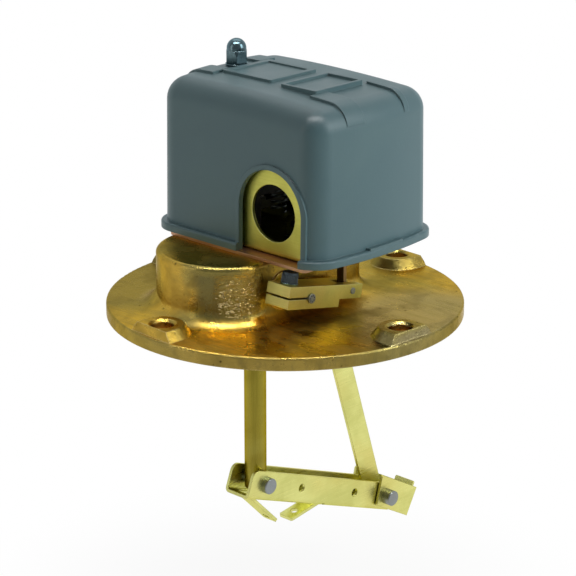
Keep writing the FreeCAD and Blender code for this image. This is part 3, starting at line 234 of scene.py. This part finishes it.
def near(tree, place, centre, reach, fade):
    # 1 inside a ball round the centre, fading to 0
    span = addNode(tree, "ShaderNodeVectorMath", operation="DISTANCE")
    tree.links.new(place, span.inputs[0])
    span.inputs[1].default_value = centre
    return ramp(tree, span.outputs["Value"], reach, reach + fade, 1.0, 0.0)


def paintFinish():
    paint = {"colour": rgb(0.104, 0.186, 0.203), "patch": rgb(0.118, 0.202, 0.214),
             "wearAndHighlight": rgb(0.20, 0.29, 0.30), "wearAndHighlightShare": 0.55, "roughness": 0.42,
             "gloss": 0.45, "peel": 900.0, "peelStrength": 0.10, "peelDepth": 0.0004}
    made, tree, shader, place = newMaterial("coverEnamel")
    mottle = useGroup(tree, cloud, Vector=place, Scale=28.0, Low=0.35, High=0.7)
    rim = useGroup(tree, edge, Vector=place, Radius=0.0007, Breakup=260.0, Gain=2.2)
    colour = mixColour(tree, mottle["Mask"], paint["colour"], paint["patch"])
    # edges lightened: partly paint wear, partly a painted highlight along the cover's edges
    wearAndHighlightMask = mathNode(tree, "MULTIPLY", rim["Mask"], paint["wearAndHighlightShare"])
    colour = mixColour(tree, wearAndHighlightMask, colour, paint["wearAndHighlight"])
    peel = addNode(tree, "ShaderNodeTexNoise", {"Vector": place, "Scale": paint["peel"],
                                                "Detail": 2.0})
    plug(tree, shader.inputs["Base Color"], colour)
    plug(tree, shader.inputs["Roughness"], ramp(tree, mottle["Raw"], 0.3, 0.7,
                                                paint["roughness"] - 0.05,
                                                paint["roughness"] + 0.08))
    shader.inputs["Specular IOR Level"].default_value = paint["gloss"]
    plug(tree, shader.inputs["Normal"], bump(tree, peel.outputs["Fac"], paint["peelStrength"],
                                             paint["peelDepth"], rim["Normal"]))
    return made


hubAxis = (-0.0116, -0.0295)      # middle of the casting's round hub


def castingFinish():
    bronze = {"gold": rgb(0.56, 0.36, 0.060), "olive": rgb(0.34, 0.27, 0.070),
              "amberReflection": rgb(1.00, 0.62, 0.100), "paleReflection": rgb(0.34, 0.28, 0.145),
              "shade": rgb(0.19, 0.16, 0.060), "dark": rgb(0.05, 0.035, 0.010),
              "bright": rgb(0.92, 0.78, 0.40), "bore": rgb(0.50, 0.24, 0.045),
              "rim": rgb(0.30, 0.235, 0.065), "edgeOn": rgb(0.84, 0.70, 0.42)}
    # tone, centre, reach and fade of the stretches that differ on the disc: painted reflections,
    # amber in front and pale on the right, and painted shade on the left
    zones = [("amberReflection", (0.045, -0.055, 0.004), 0.030, 0.025),
             ("paleReflection", (0.074, 0.022, 0.004), 0.030, 0.026),
             ("shade", (-0.070, -0.030, 0.004), 0.038, 0.020)]
    # where a tone starts and ends: heights on the disc and under the plate, and the disc's radius
    bands = {"disc": (0.0085, 0.0120), "seat": (0.0355, 0.0362), "rim": (0.0878, 0.0886)}
    share = {"zone": 0.85, "rim": 0.75, "streak": 0.35, "seat": 0.4, "stain": 0.30,
             "shadow": 0.75, "roughScarAndShade": 0.60, "pit": 0.8, "bright": 0.7}
    # sectors give the angles where they start, are full, begin to end and end
    hub = {"middle": (*hubAxis, 0.02), "reach": 0.040, "fade": 0.004, "foot": (0.0100, 0.0145),
           "crown": (0.0300, 0.0345), "roughScarAndShade": (-1.00, -0.86, -0.34, -0.20),
           "shadow": (-1.30, -1.12, -0.98, -0.70)}
    holes = {"circle": 0.079375, "turn": -3.3, "height": 0.0045, "reach": 0.0060, "fade": 0.0006}
    relief = {"plain": 0.16, "roughScarAndShade": 0.7, "streak": 0.25, "depth": 0.0016}
    made, tree, shader, place = newMaterial("castBronze")
    broad = useGroup(tree, cloud, Vector=place, Scale=17.0, Detail=5.0, Low=0.42, High=0.6)
    fine = useGroup(tree, cloud, Vector=place, Scale=70.0, Detail=6.0, Low=0.4, High=0.66)
    skin = useGroup(tree, castSkin, Vector=place, Grain=620.0, Pits=300.0)
    streak = useGroup(tree, brush, Vector=place, Stretch=(26.0, 300.0, 90.0))
    rim = useGroup(tree, edge, Vector=place, Radius=0.0009, Breakup=200.0, Gain=3.0)
    height = addNode(tree, "ShaderNodeSeparateXYZ", {"Vector": place}).outputs["Z"]
    colour = mixColour(tree, broad["Mask"], bronze["gold"], bronze["olive"])
    low = ramp(tree, height, *bands["disc"], 1.0, 0.0)
    # paint the disc's reflection and shade stretches
    for tone, centre, reach, fade in zones:
        mask = mathNode(tree, "MULTIPLY", near(tree, place, centre, reach, fade), low)
        colour = mixColour(tree, mathNode(tree, "MULTIPLY", mask, share["zone"]), colour,
                           bronze[tone])
    across = addNode(tree, "ShaderNodeVectorMath", operation="MULTIPLY")
    tree.links.new(place, across.inputs[0])
    across.inputs[1].default_value = (1.0, 1.0, 0.0)
    # the disc's side wall is painted darker: painted shade
    radius = addNode(tree, "ShaderNodeVectorMath", operation="LENGTH")
    tree.links.new(across.outputs["Vector"], radius.inputs[0])
    rimShadeMask = mathNode(tree, "MULTIPLY", ramp(tree, radius.outputs["Value"], *bands["rim"]), low)
    colour = mixColour(tree, mathNode(tree, "MULTIPLY", rimShadeMask, share["rim"]), colour, bronze["rim"])
    streakMask = ramp(tree, streak["Height"], 0.42, 0.66)
    colour = mixColour(tree, mathNode(tree, "MULTIPLY", streakMask, share["streak"]), colour,
                       bronze["shade"])
    # the hub's top under the base plate is painted darker: painted shade from the plate above it
    top = ramp(tree, height, *bands["seat"])
    colour = mixColour(tree, mathNode(tree, "MULTIPLY", top, share["seat"]), colour, bronze["shade"])
    stain = mathNode(tree, "MULTIPLY", fine["Mask"], share["stain"])
    colour = mixColour(tree, stain, colour, bronze["dark"])
    # round the hub: a rough scar on one side, its colour darkened as painted shade, with a painted
    # shadow before it
    split = addNode(tree, "ShaderNodeSeparateXYZ", {"Vector": place}).outputs
    around = mathNode(tree, "ARCTAN2", mathNode(tree, "SUBTRACT", split["Y"], hubAxis[1]),
                      mathNode(tree, "SUBTRACT", split["X"], hubAxis[0]))
    wall = mathNode(tree, "MULTIPLY", ramp(tree, height, *hub["foot"]),
                    ramp(tree, height, *hub["crown"], 1.0, 0.0))
    wall = mathNode(tree, "MULTIPLY", wall, near(tree, place, hub["middle"], hub["reach"],
                                                 hub["fade"]))

    def sector(limits):
        rise = ramp(tree, around, *limits[:2])
        fall = ramp(tree, around, *limits[2:], 1.0, 0.0)
        return mathNode(tree, "MULTIPLY", mathNode(tree, "MULTIPLY", rise, fall), wall)

    roughScarAndShade = sector(hub["roughScarAndShade"])
    colour = mixColour(tree, mathNode(tree, "MULTIPLY", sector(hub["shadow"]), share["shadow"]),
                       colour, bronze["shade"])
    colour = mixColour(tree, mathNode(tree, "MULTIPLY", roughScarAndShade, share["roughScarAndShade"]), colour,
                       bronze["shade"])
    colour = mixColour(tree, mathNode(tree, "MULTIPLY", skin["Pit"], share["pit"]), colour,
                       bronze["dark"])
    # edges lightened: partly filed bright edges, partly painted highlights along the rim and pads
    colour = mixColour(tree, mathNode(tree, "MULTIPLY", rim["Mask"], share["bright"]), colour,
                       bronze["bright"])
    for quarter in range(4):
        angle = math.radians(holes["turn"] + 90 * quarter)
        centre = (holes["circle"] * math.cos(angle), holes["circle"] * math.sin(angle),
                  holes["height"])
        colour = mixColour(tree, near(tree, place, centre, holes["reach"], holes["fade"]), colour,
                           bronze["bore"])
    plug(tree, shader.inputs["Base Color"], colour)
    shader.inputs["Metallic"].default_value = 1.0
    shader.inputs["Specular Tint"].default_value = bronze["edgeOn"]
    plug(tree, shader.inputs["Roughness"], ramp(tree, fine["Raw"], 0.3, 0.7, 0.18, 0.42))
    strength = mathNode(tree, "ADD", mathNode(tree, "MULTIPLY", roughScarAndShade, relief["roughScarAndShade"]),
                        relief["plain"])
    mixed = mathNode(tree, "ADD", skin["Height"],
                     mathNode(tree, "MULTIPLY", streak["Height"], relief["streak"]))
    plug(tree, shader.inputs["Normal"], bump(tree, mixed, strength, relief["depth"],
                                             rim["Normal"]))
    return made


def sheetFinish(name, metal, stretch):
    # rolled or turned metal: brush lines, faint clouding, and edges painted in their own tone, a
    # painted highlight where lighter and painted shade where darker
    share = {"mottle": 0.5, "tint": 0.6, "line": 0.18, "edge": 0.8}
    made, tree, shader, place = newMaterial(name)
    lines = useGroup(tree, brush, Vector=place, Stretch=stretch)
    mottle = useGroup(tree, cloud, Vector=place, Scale=60.0, Low=0.35, High=0.7)
    tint = useGroup(tree, cloud, Vector=place, Scale=22.0, Low=0.45, High=0.75)
    rim = useGroup(tree, edge, Vector=place, Radius=0.0005, Breakup=400.0, Gain=3.0)
    colour = mixColour(tree, mathNode(tree, "MULTIPLY", mottle["Mask"], share["mottle"]),
                       metal["base"], metal["shade"])
    colour = mixColour(tree, mathNode(tree, "MULTIPLY", tint["Mask"], share["tint"]), colour,
                       metal["warm"])
    lineMask = ramp(tree, lines["Height"], 0.3, 0.7)
    colour = mixColour(tree, mathNode(tree, "MULTIPLY", lineMask, share["line"]), colour,
                       metal["shade"])
    # edge tone: a painted highlight where lighter, painted shade where darker
    colour = mixColour(tree, mathNode(tree, "MULTIPLY", rim["Mask"], share["edge"]), colour,
                       metal["edge"])
    plug(tree, shader.inputs["Base Color"], colour)
    shader.inputs["Metallic"].default_value = 1.0
    shader.inputs["Specular Tint"].default_value = metal["edgeOn"]
    plug(tree, shader.inputs["Roughness"], ramp(tree, lines["Height"], 0.3, 0.7,
                                                metal["roughness"] - 0.06,
                                                metal["roughness"] + 0.08))
    plug(tree, shader.inputs["Normal"], bump(tree, lines["Height"], 0.12, 0.0003,
                                             rim["Normal"]))
    return made


def mouldedFinish(name, base, fleck, roughness):
    made, tree, shader, place = newMaterial(name)
    mottle = useGroup(tree, cloud, Vector=place, Scale=180.0, Detail=6.0, Low=0.45, High=0.6)
    rim = useGroup(tree, edge, Vector=place, Radius=0.0004, Breakup=500.0, Gain=1.5)
    colour = mixColour(tree, mottle["Mask"], base, fleck)
    plug(tree, shader.inputs["Base Color"], colour)
    plug(tree, shader.inputs["Roughness"], ramp(tree, mottle["Raw"], 0.3, 0.7,
                                                roughness - 0.05, roughness + 0.1))
    plug(tree, shader.inputs["Normal"], bump(tree, mottle["Raw"], 0.12, 0.0003, rim["Normal"]))
    return made


alongX = (30.0, 1500.0, 1500.0)
alongY = (1500.0, 40.0, 1500.0)
alongZ = (1500.0, 1500.0, 30.0)
# each metal's edge colour is painted light: lighter ones are painted highlights, darker ones painted
# shade
metals = {
    "plated_steel": {"base": rgb(0.60, 0.58, 0.13), "shade": rgb(0.34, 0.34, 0.06),
                     "warm": rgb(0.50, 0.36, 0.12), "edge": rgb(0.80, 0.80, 0.42),
                     "edgeOn": rgb(0.80, 0.80, 0.50), "roughness": 0.36},
    "base_copper": {"base": rgb(0.50, 0.29, 0.19), "shade": rgb(0.30, 0.16, 0.09),
                    "warm": rgb(0.55, 0.42, 0.16), "edge": rgb(0.30, 0.16, 0.08),
                    "edgeOn": rgb(0.85, 0.60, 0.50), "roughness": 0.36},
    "lever_brass": {"base": rgb(0.81, 0.80, 0.29), "shade": rgb(0.52, 0.52, 0.14),
                    "warm": rgb(0.74, 0.62, 0.18), "edge": rgb(0.34, 0.26, 0.06),
                    "edgeOn": rgb(0.88, 0.85, 0.50), "roughness": 0.32},
    "post_brass": {"base": rgb(0.36, 0.29, 0.040), "shade": rgb(0.20, 0.150, 0.015),
                   "warm": rgb(0.46, 0.42, 0.10), "edge": rgb(0.60, 0.58, 0.24),
                   "edgeOn": rgb(0.75, 0.62, 0.30), "roughness": 0.30},
    "arm_brass": {"base": rgb(0.62, 0.58, 0.18), "shade": rgb(0.33, 0.31, 0.08),
                  "warm": rgb(0.58, 0.38, 0.11), "edge": rgb(0.84, 0.78, 0.42),
                  "edgeOn": rgb(0.85, 0.78, 0.50), "roughness": 0.36},
    "link_bronze": {"base": rgb(0.34, 0.22, 0.10), "shade": rgb(0.16, 0.10, 0.05),
                    "warm": rgb(0.45, 0.24, 0.12), "edge": rgb(0.20, 0.11, 0.05),
                    "edgeOn": rgb(0.70, 0.50, 0.35), "roughness": 0.40},
    "steel": {"base": rgb(0.32, 0.35, 0.36), "shade": rgb(0.19, 0.21, 0.22),
              "warm": rgb(0.32, 0.31, 0.26), "edge": rgb(0.10, 0.10, 0.09),
              "edgeOn": rgb(0.80, 0.80, 0.80), "roughness": 0.34},
    "zinc_steel": {"base": rgb(0.11, 0.17, 0.19), "shade": rgb(0.04, 0.065, 0.078),
                   "warm": rgb(0.17, 0.22, 0.24), "edge": rgb(0.30, 0.37, 0.39),
                   "edgeOn": rgb(0.72, 0.80, 0.82), "roughness": 0.20},
    "dark_steel": {"base": rgb(0.09, 0.12, 0.14), "shade": rgb(0.05, 0.06, 0.07),
                   "warm": rgb(0.12, 0.12, 0.12), "edge": rgb(0.22, 0.26, 0.29),
                   "edgeOn": rgb(0.60, 0.64, 0.68), "roughness": 0.42},
    "contact_metal": {"base": rgb(0.62, 0.58, 0.50), "shade": rgb(0.45, 0.40, 0.33),
                      "warm": rgb(0.60, 0.45, 0.34), "edge": rgb(0.66, 0.62, 0.55),
                      "edgeOn": rgb(0.90, 0.88, 0.85), "roughness": 0.30},
}
runsAlong = {"lever_brass": alongY, "post_brass": alongZ, "link_bronze": alongZ,
             "zinc_steel": alongZ, "dark_steel": alongZ}
finishes = {name: sheetFinish(name, metal, runsAlong.get(name, alongX))
            for name, metal in metals.items()}
finishes["cover_paint"] = paintFinish()
finishes["cast_bronze"] = castingFinish()
finishes["insulator"] = mouldedFinish("mouldedBlock", rgb(0.020, 0.018, 0.017),
                                      rgb(0.035, 0.028, 0.022), 0.45)
finishes["packing"] = mouldedFinish("packingFibre", rgb(0.020, 0.020, 0.020),
                                    rgb(0.05, 0.05, 0.05), 0.8)
slotOf = {entry["node"]: entry["material_slot"] for entry in frame["record"]["subparts"]}
for name, piece in frame["nodes"].items():
    for index in range(len(piece.material_slots)):
        piece.material_slots[index].material = finishes[slotOf[name]]
print("finishes given to", len(frame["nodes"]), "nodes")


# pieces that repeat, each grown by its own Geometry Nodes tree

def newTree(name, sizes):
    tree = bpy.data.node_groups.new(name, "GeometryNodeTree")
    kinds = {int: "NodeSocketInt", float: "NodeSocketFloat", tuple: "NodeSocketVector"}
    for label, value in sizes.items():
        tree.interface.new_socket(label, in_out="INPUT", socket_type=kinds[type(value)])
    tree.interface.new_socket("Geometry", in_out="OUTPUT", socket_type="NodeSocketGeometry")
    return tree, tree.nodes.new("NodeGroupInput").outputs, tree.nodes.new("NodeGroupOutput").inputs


def closeTree(tree, shape, result, finish, smooth=True):
    solid = addNode(tree, "GeometryNodeRealizeInstances", {"Geometry": shape})
    soft = addNode(tree, "GeometryNodeSetShadeSmooth", {"Geometry": solid.outputs["Geometry"],
                                                        "Shade Smooth": smooth})
    painted = addNode(tree, "GeometryNodeSetMaterial", {"Geometry": soft.outputs["Geometry"]})
    painted.inputs["Material"].default_value = finish
    tree.links.new(painted.outputs["Geometry"], result["Geometry"])


def growPiece(name, tree, sizes, body):
    piece = bpy.data.objects.new(name, bpy.data.meshes.new(name))
    bpy.context.scene.collection.objects.link(piece)
    grower = piece.modifiers.new("grow", "NODES")
    grower.node_group = tree
    for entry in tree.interface.items_tree:
        if entry.item_type == "SOCKET" and entry.in_out == "INPUT":
            grower[entry.identifier] = sizes[entry.name]
    depsgraph = bpy.context.evaluated_depsgraph_get()
    mesh = bpy.data.meshes.new_from_object(piece.evaluated_get(depsgraph))
    piece.modifiers.clear()
    piece.data = mesh
    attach(piece, body)
    print(name, "grown,", len(mesh.polygons), "faces")


def growKnurl():
    # gripping ridges round the head of the clamp's cap screw
    knurl = {"Ridges": 30, "Radius": 0.0038, "Width": 0.00036, "Rise": 0.00045,
             "Length": 0.0042, "Foot": (0.0315, -0.02985, 0.02986), "Lean": (-0.2025, 0.0, 0.0)}
    tree, given, result = newTree("knurl", knurl)
    ring = addNode(tree, "GeometryNodeMeshCircle", {"Vertices": given["Ridges"],
                                                    "Radius": given["Radius"]})
    where = addNode(tree, "GeometryNodeInputPosition").outputs["Position"]
    outward = addNode(tree, "FunctionNodeAlignRotationToVector", {"Vector": where}, axis="X")
    size = addNode(tree, "ShaderNodeCombineXYZ", {"X": given["Rise"], "Y": given["Width"],
                                                  "Z": given["Length"]})
    bar = addNode(tree, "GeometryNodeMeshCube", {"Size": size.outputs["Vector"]})
    ridges = addNode(tree, "GeometryNodeInstanceOnPoints", {
        "Points": ring.outputs["Mesh"], "Instance": bar.outputs["Mesh"],
        "Rotation": outward.outputs["Rotation"]})
    placed = addNode(tree, "GeometryNodeTransform", {
        "Geometry": ridges.outputs["Instances"], "Translation": given["Foot"],
        "Rotation": given["Lean"]})
    closeTree(tree, placed.outputs["Geometry"], result, finishes["dark_steel"], False)
    growPiece("clampKnurl", tree, knurl, "operating_shaft")


def growLumps():
    # sand lumps left on one side of the hub, dropped onto the casting from outside
    lumps = {"Axis": (*hubAxis, 0.0205), "Away": 0.0500, "Turn": -0.610, "Arc": 0.024,
             "HubRadius": 0.0343, "Throw": 0.1,
             "Height": 0.0190, "Density": 600000.0, "Seed": 7, "Least": 0.40, "Most": 1.0,
             "Size": (0.00120, 0.00040, 0.00010), "Middle": (0.0165, -0.0491, 0.0200),
             "Full": 0.0060, "Reach": 0.0125}
    tree, given, result = newTree("sandLumps", lumps)
    sheet = addNode(tree, "GeometryNodeMeshGrid", {"Size X": given["Arc"], "Size Y": given["Height"],
                                                   "Vertices X": 40, "Vertices Y": 30})
    where = addNode(tree, "GeometryNodeInputPosition").outputs["Position"]
    flat = addNode(tree, "ShaderNodeSeparateXYZ", {"Vector": where}).outputs
    # wrap the sheet round the hub, then shoot every corner of it at the axis
    turn = mathNode(tree, "ADD", mathNode(tree, "DIVIDE", flat["X"], given["HubRadius"]),
                    given["Turn"])
    out = addNode(tree, "ShaderNodeCombineXYZ", {"X": mathNode(tree, "COSINE", turn),
                                                 "Y": mathNode(tree, "SINE", turn)})
    spoke = addNode(tree, "ShaderNodeVectorMath", operation="SCALE")
    tree.links.new(out.outputs["Vector"], spoke.inputs[0])
    tree.links.new(given["Away"], spoke.inputs["Scale"])
    raised = addNode(tree, "ShaderNodeCombineXYZ", {"Z": flat["Y"]})
    first = addNode(tree, "ShaderNodeVectorMath", operation="ADD")
    tree.links.new(spoke.outputs["Vector"], first.inputs[0])
    tree.links.new(raised.outputs["Vector"], first.inputs[1])
    start = addNode(tree, "ShaderNodeVectorMath", operation="ADD")
    tree.links.new(first.outputs["Vector"], start.inputs[0])
    tree.links.new(given["Axis"], start.inputs[1])
    inward = addNode(tree, "ShaderNodeVectorMath", operation="SCALE")
    tree.links.new(out.outputs["Vector"], inward.inputs[0])
    inward.inputs["Scale"].default_value = -1.0
    casting = addNode(tree, "GeometryNodeObjectInfo", transform_space="RELATIVE")
    casting.inputs["Object"].default_value = frame["nodes"]["flange_casting"]
    shot = addNode(tree, "GeometryNodeRaycast", {
        "Target Geometry": casting.outputs["Geometry"], "Source Position": start.outputs["Vector"],
        "Ray Direction": inward.outputs["Vector"], "Ray Length": given["Throw"]})
    skin = addNode(tree, "GeometryNodeSetPosition", {"Geometry": sheet.outputs["Mesh"],
                                                     "Position": shot.outputs["Hit Position"]})
    # fewer of them towards the patch's border
    there = addNode(tree, "GeometryNodeInputPosition").outputs["Position"]
    span = addNode(tree, "ShaderNodeVectorMath", operation="DISTANCE")
    tree.links.new(there, span.inputs[0])
    tree.links.new(given["Middle"], span.inputs[1])
    crowd = mathNode(tree, "MULTIPLY", given["Density"],
                     ramp(tree, span.outputs["Value"], given["Full"], given["Reach"], 1.0, 0.0))
    spots = addNode(tree, "GeometryNodeDistributePointsOnFaces", {
        "Mesh": skin.outputs["Geometry"], "Density": crowd, "Seed": given["Seed"]})
    lump = addNode(tree, "GeometryNodeMeshIcoSphere", {"Radius": 1.0, "Subdivisions": 2})
    some = addNode(tree, "FunctionNodeRandomValue", {"Seed": given["Seed"]}, data_type="FLOAT")
    tree.links.new(given["Least"], some.inputs[2])
    tree.links.new(given["Most"], some.inputs[3])
    scale = addNode(tree, "ShaderNodeVectorMath", operation="SCALE")
    tree.links.new(given["Size"], scale.inputs[0])
    tree.links.new(some.outputs[1], scale.inputs["Scale"])
    grown = addNode(tree, "GeometryNodeInstanceOnPoints", {
        "Points": spots.outputs["Points"], "Instance": lump.outputs["Mesh"],
        "Rotation": spots.outputs["Rotation"], "Scale": scale.outputs["Vector"]})
    closeTree(tree, grown.outputs["Instances"], result, finishes["cast_bronze"])
    growPiece("sandLumps", tree, lumps, "housing")


def growStakes():
    # punch marks that stake the shaft's end in the arm
    stakes = {"Marks": 7, "Ring": 0.0015, "Size": 0.00038, "Foot": (0.0399, -0.0230, 0.0200),
              "Face": (0.0, 1.5708, 0.0)}
    tree, given, result = newTree("stakeMarks", stakes)
    ring = addNode(tree, "GeometryNodeMeshCircle", {"Vertices": given["Marks"],
                                                    "Radius": given["Ring"]})
    knob = addNode(tree, "GeometryNodeMeshIcoSphere", {"Radius": given["Size"], "Subdivisions": 2})
    marks = addNode(tree, "GeometryNodeInstanceOnPoints", {"Points": ring.outputs["Mesh"],
                                                           "Instance": knob.outputs["Mesh"]})
    placed = addNode(tree, "GeometryNodeTransform", {
        "Geometry": marks.outputs["Instances"], "Translation": given["Foot"],
        "Rotation": given["Face"]})
    closeTree(tree, placed.outputs["Geometry"], result, finishes["dark_steel"])
    growPiece("stakeMarks", tree, stakes, "operating_shaft")


growKnurl()
growLumps()
growStakes()


# stage and light

stage = {
    "floorZ": -0.172,
    "size": 6.0,
    "nearGlow": 0.80,         # how white the floor is under the object, which keeps its shadow
    "fade": (0.10, 0.26),
    "backGlow": 0.95,         # what metal sees of floor and room beyond the object
    "frontGlow": 0.30,        # and on the near side
    "skyBack": 0.62,          # light the room gives from beyond the object
    "skyFront": 0.20,
    "ceiling": 0.30,          # share of it that comes from straight above
    "ceilingFrom": (0.25, 0.85),
    "floorTurn": (-0.25, 0.45),     # metres, where the floor goes from its far to its near tone
    "roomTurn": (-0.8, 0.8),        # the same for the room, as a share of the direction
}


def alongBack(tree, vector):
    # how far a point or direction lies towards the near side of the room
    made = addNode(tree, "ShaderNodeVectorMath", operation="DOT_PRODUCT")
    tree.links.new(vector, made.inputs[0])
    made.inputs[1].default_value = back
    return made.outputs["Value"]


def buildFloor(values):
    half = values["size"] / 2
    mesh = bpy.data.meshes.new("floor")
    corners = [(-half, -half), (half, -half), (half, half), (-half, half)]
    mesh.from_pydata([(x, y, values["floorZ"]) for x, y in corners], [], [(0, 1, 2, 3)])
    floor = bpy.data.objects.new("floor", mesh)
    bpy.context.scene.collection.objects.link(floor)
    made, tree, shader, place = newMaterial("paleFloor")
    shader.inputs["Base Color"].default_value = rgb(0.80, 0.80, 0.80)
    shader.inputs["Roughness"].default_value = 0.9
    path = addNode(tree, "ShaderNodeLightPath").outputs
    seen = mathNode(tree, "MAXIMUM", path["Is Camera Ray"], path["Is Transmission Ray"])
    low, high = values["fade"]
    far = addNode(tree, "ShaderNodeVectorMath", operation="LENGTH")
    tree.links.new(place, far.inputs[0])
    share = ramp(tree, far.outputs["Value"], low, high, values["nearGlow"], 1.0)
    inMetal = ramp(tree, alongBack(tree, place), *values["floorTurn"], values["backGlow"],
                   values["frontGlow"])
    glow = addNode(tree, "ShaderNodeEmission", {"Color": rgb(1, 1, 1), "Strength": 1.0})
    blend = addNode(tree, "ShaderNodeMixShader")
    plug(tree, blend.inputs[0], mathNode(tree, "ADD", mathNode(tree, "MULTIPLY", seen, share),
                                         mathNode(tree, "MULTIPLY", path["Is Glossy Ray"],
                                                  inMetal)))
    tree.links.new(shader.outputs[0], blend.inputs[1])
    tree.links.new(glow.outputs[0], blend.inputs[2])
    # clear from below, so the underside of the flange can be looked at
    below = addNode(tree, "ShaderNodeMixShader")
    plug(tree, below.inputs[0], addNode(tree, "ShaderNodeNewGeometry").outputs["Backfacing"])
    tree.links.new(blend.outputs[0], below.inputs[1])
    tree.links.new(addNode(tree, "ShaderNodeBsdfTransparent").outputs[0], below.inputs[2])
    tree.links.new(below.outputs[0], tree.nodes["Material Output"].inputs["Surface"])
    mesh.materials.append(made)


def buildWorld(values):
    world = bpy.data.worlds.new("studio")
    bpy.context.scene.world = world
    world.use_nodes = True
    tree = world.node_tree
    ground = tree.nodes["Background"]
    path = addNode(tree, "ShaderNodeLightPath").outputs
    seen = mathNode(tree, "MAXIMUM", path["Is Camera Ray"], path["Is Transmission Ray"])
    ground.inputs["Color"].default_value = rgb(0.95, 0.98, 1.0)
    ray = addNode(tree, "ShaderNodeTexCoord").outputs["Generated"]
    way = alongBack(tree, ray)
    high = addNode(tree, "ShaderNodeSeparateXYZ", {"Vector": ray}).outputs["Z"]
    soft = mathNode(tree, "MULTIPLY",
                    ramp(tree, way, *values["roomTurn"], values["skyBack"], values["skyFront"]),
                    ramp(tree, high, *values["ceilingFrom"], 1.0, values["ceiling"]))
    shiny = ramp(tree, way, *values["roomTurn"], values["backGlow"], values["frontGlow"])
    glossy = path["Is Glossy Ray"]
    plug(tree, ground.inputs["Strength"],
         mathNode(tree, "ADD", mathNode(tree, "MULTIPLY", glossy, shiny),
                  mathNode(tree, "MULTIPLY", mathNode(tree, "SUBTRACT", 1.0, glossy), soft)))
    white = addNode(tree, "ShaderNodeBackground", {"Color": rgb(1, 1, 1), "Strength": 1.0})
    blend = addNode(tree, "ShaderNodeMixShader")
    plug(tree, blend.inputs[0], seen)
    tree.links.new(ground.outputs[0], blend.inputs[1])
    tree.links.new(white.outputs[0], blend.inputs[2])
    tree.links.new(blend.outputs[0], tree.nodes["World Output"].inputs["Surface"])


# each lamp stands to the right of the object, towards the eye and above the flange
lamps = {
    "key": {"right": 1.2, "near": 0.5, "above": 0.45, "aimUp": 0.04, "size": (0.55, 0.9),
            "power": 9.6, "colour": (0.93, 1.0, 1.02), "onPaint": True},
    "fill": {"right": -1.1, "near": 0.6, "above": 0.1, "aimUp": 0.0, "size": (0.25, 1.1),
             "power": 1.6, "colour": (1.0, 0.95, 0.88), "onPaint": True},
    "top": {"right": 0.0, "near": -0.5, "above": 1.1, "aimUp": 0.0, "size": (0.9, 0.5),
            "power": 2.0, "colour": (1.0, 1.0, 1.0), "onPaint": True},
    "strip": {"right": 0.0, "near": 0.35, "above": 1.0, "aimUp": 0.0, "size": (1.1, 0.06),
              "power": 12.0, "colour": (1.0, 1.0, 1.0), "onPaint": False},
}


def addLamp(name, values):
    data = bpy.data.lights.new(name, "AREA")
    data.shape = "RECTANGLE"
    data.size, data.size_y = values["size"]
    data.energy = values["power"]
    data.color = values["colour"]
    lamp = bpy.data.objects.new(name, data)
    lamp.location = (right * values["right"] + back * values["near"]
                     + Vector((0, 0, values["above"])))
    lamp.visible_diffuse = values["onPaint"]
    aim = Vector((0, 0, values["aimUp"]))
    lamp.rotation_euler = (lamp.location - aim).to_track_quat("Z", "Y").to_euler()
    bpy.context.scene.collection.objects.link(lamp)


buildFloor(stage)
buildWorld(stage)
for name, values in lamps.items():
    addLamp(name, values)
scene = bpy.context.scene
scene.view_settings.view_transform = "Standard"
print("stage and lamps set")
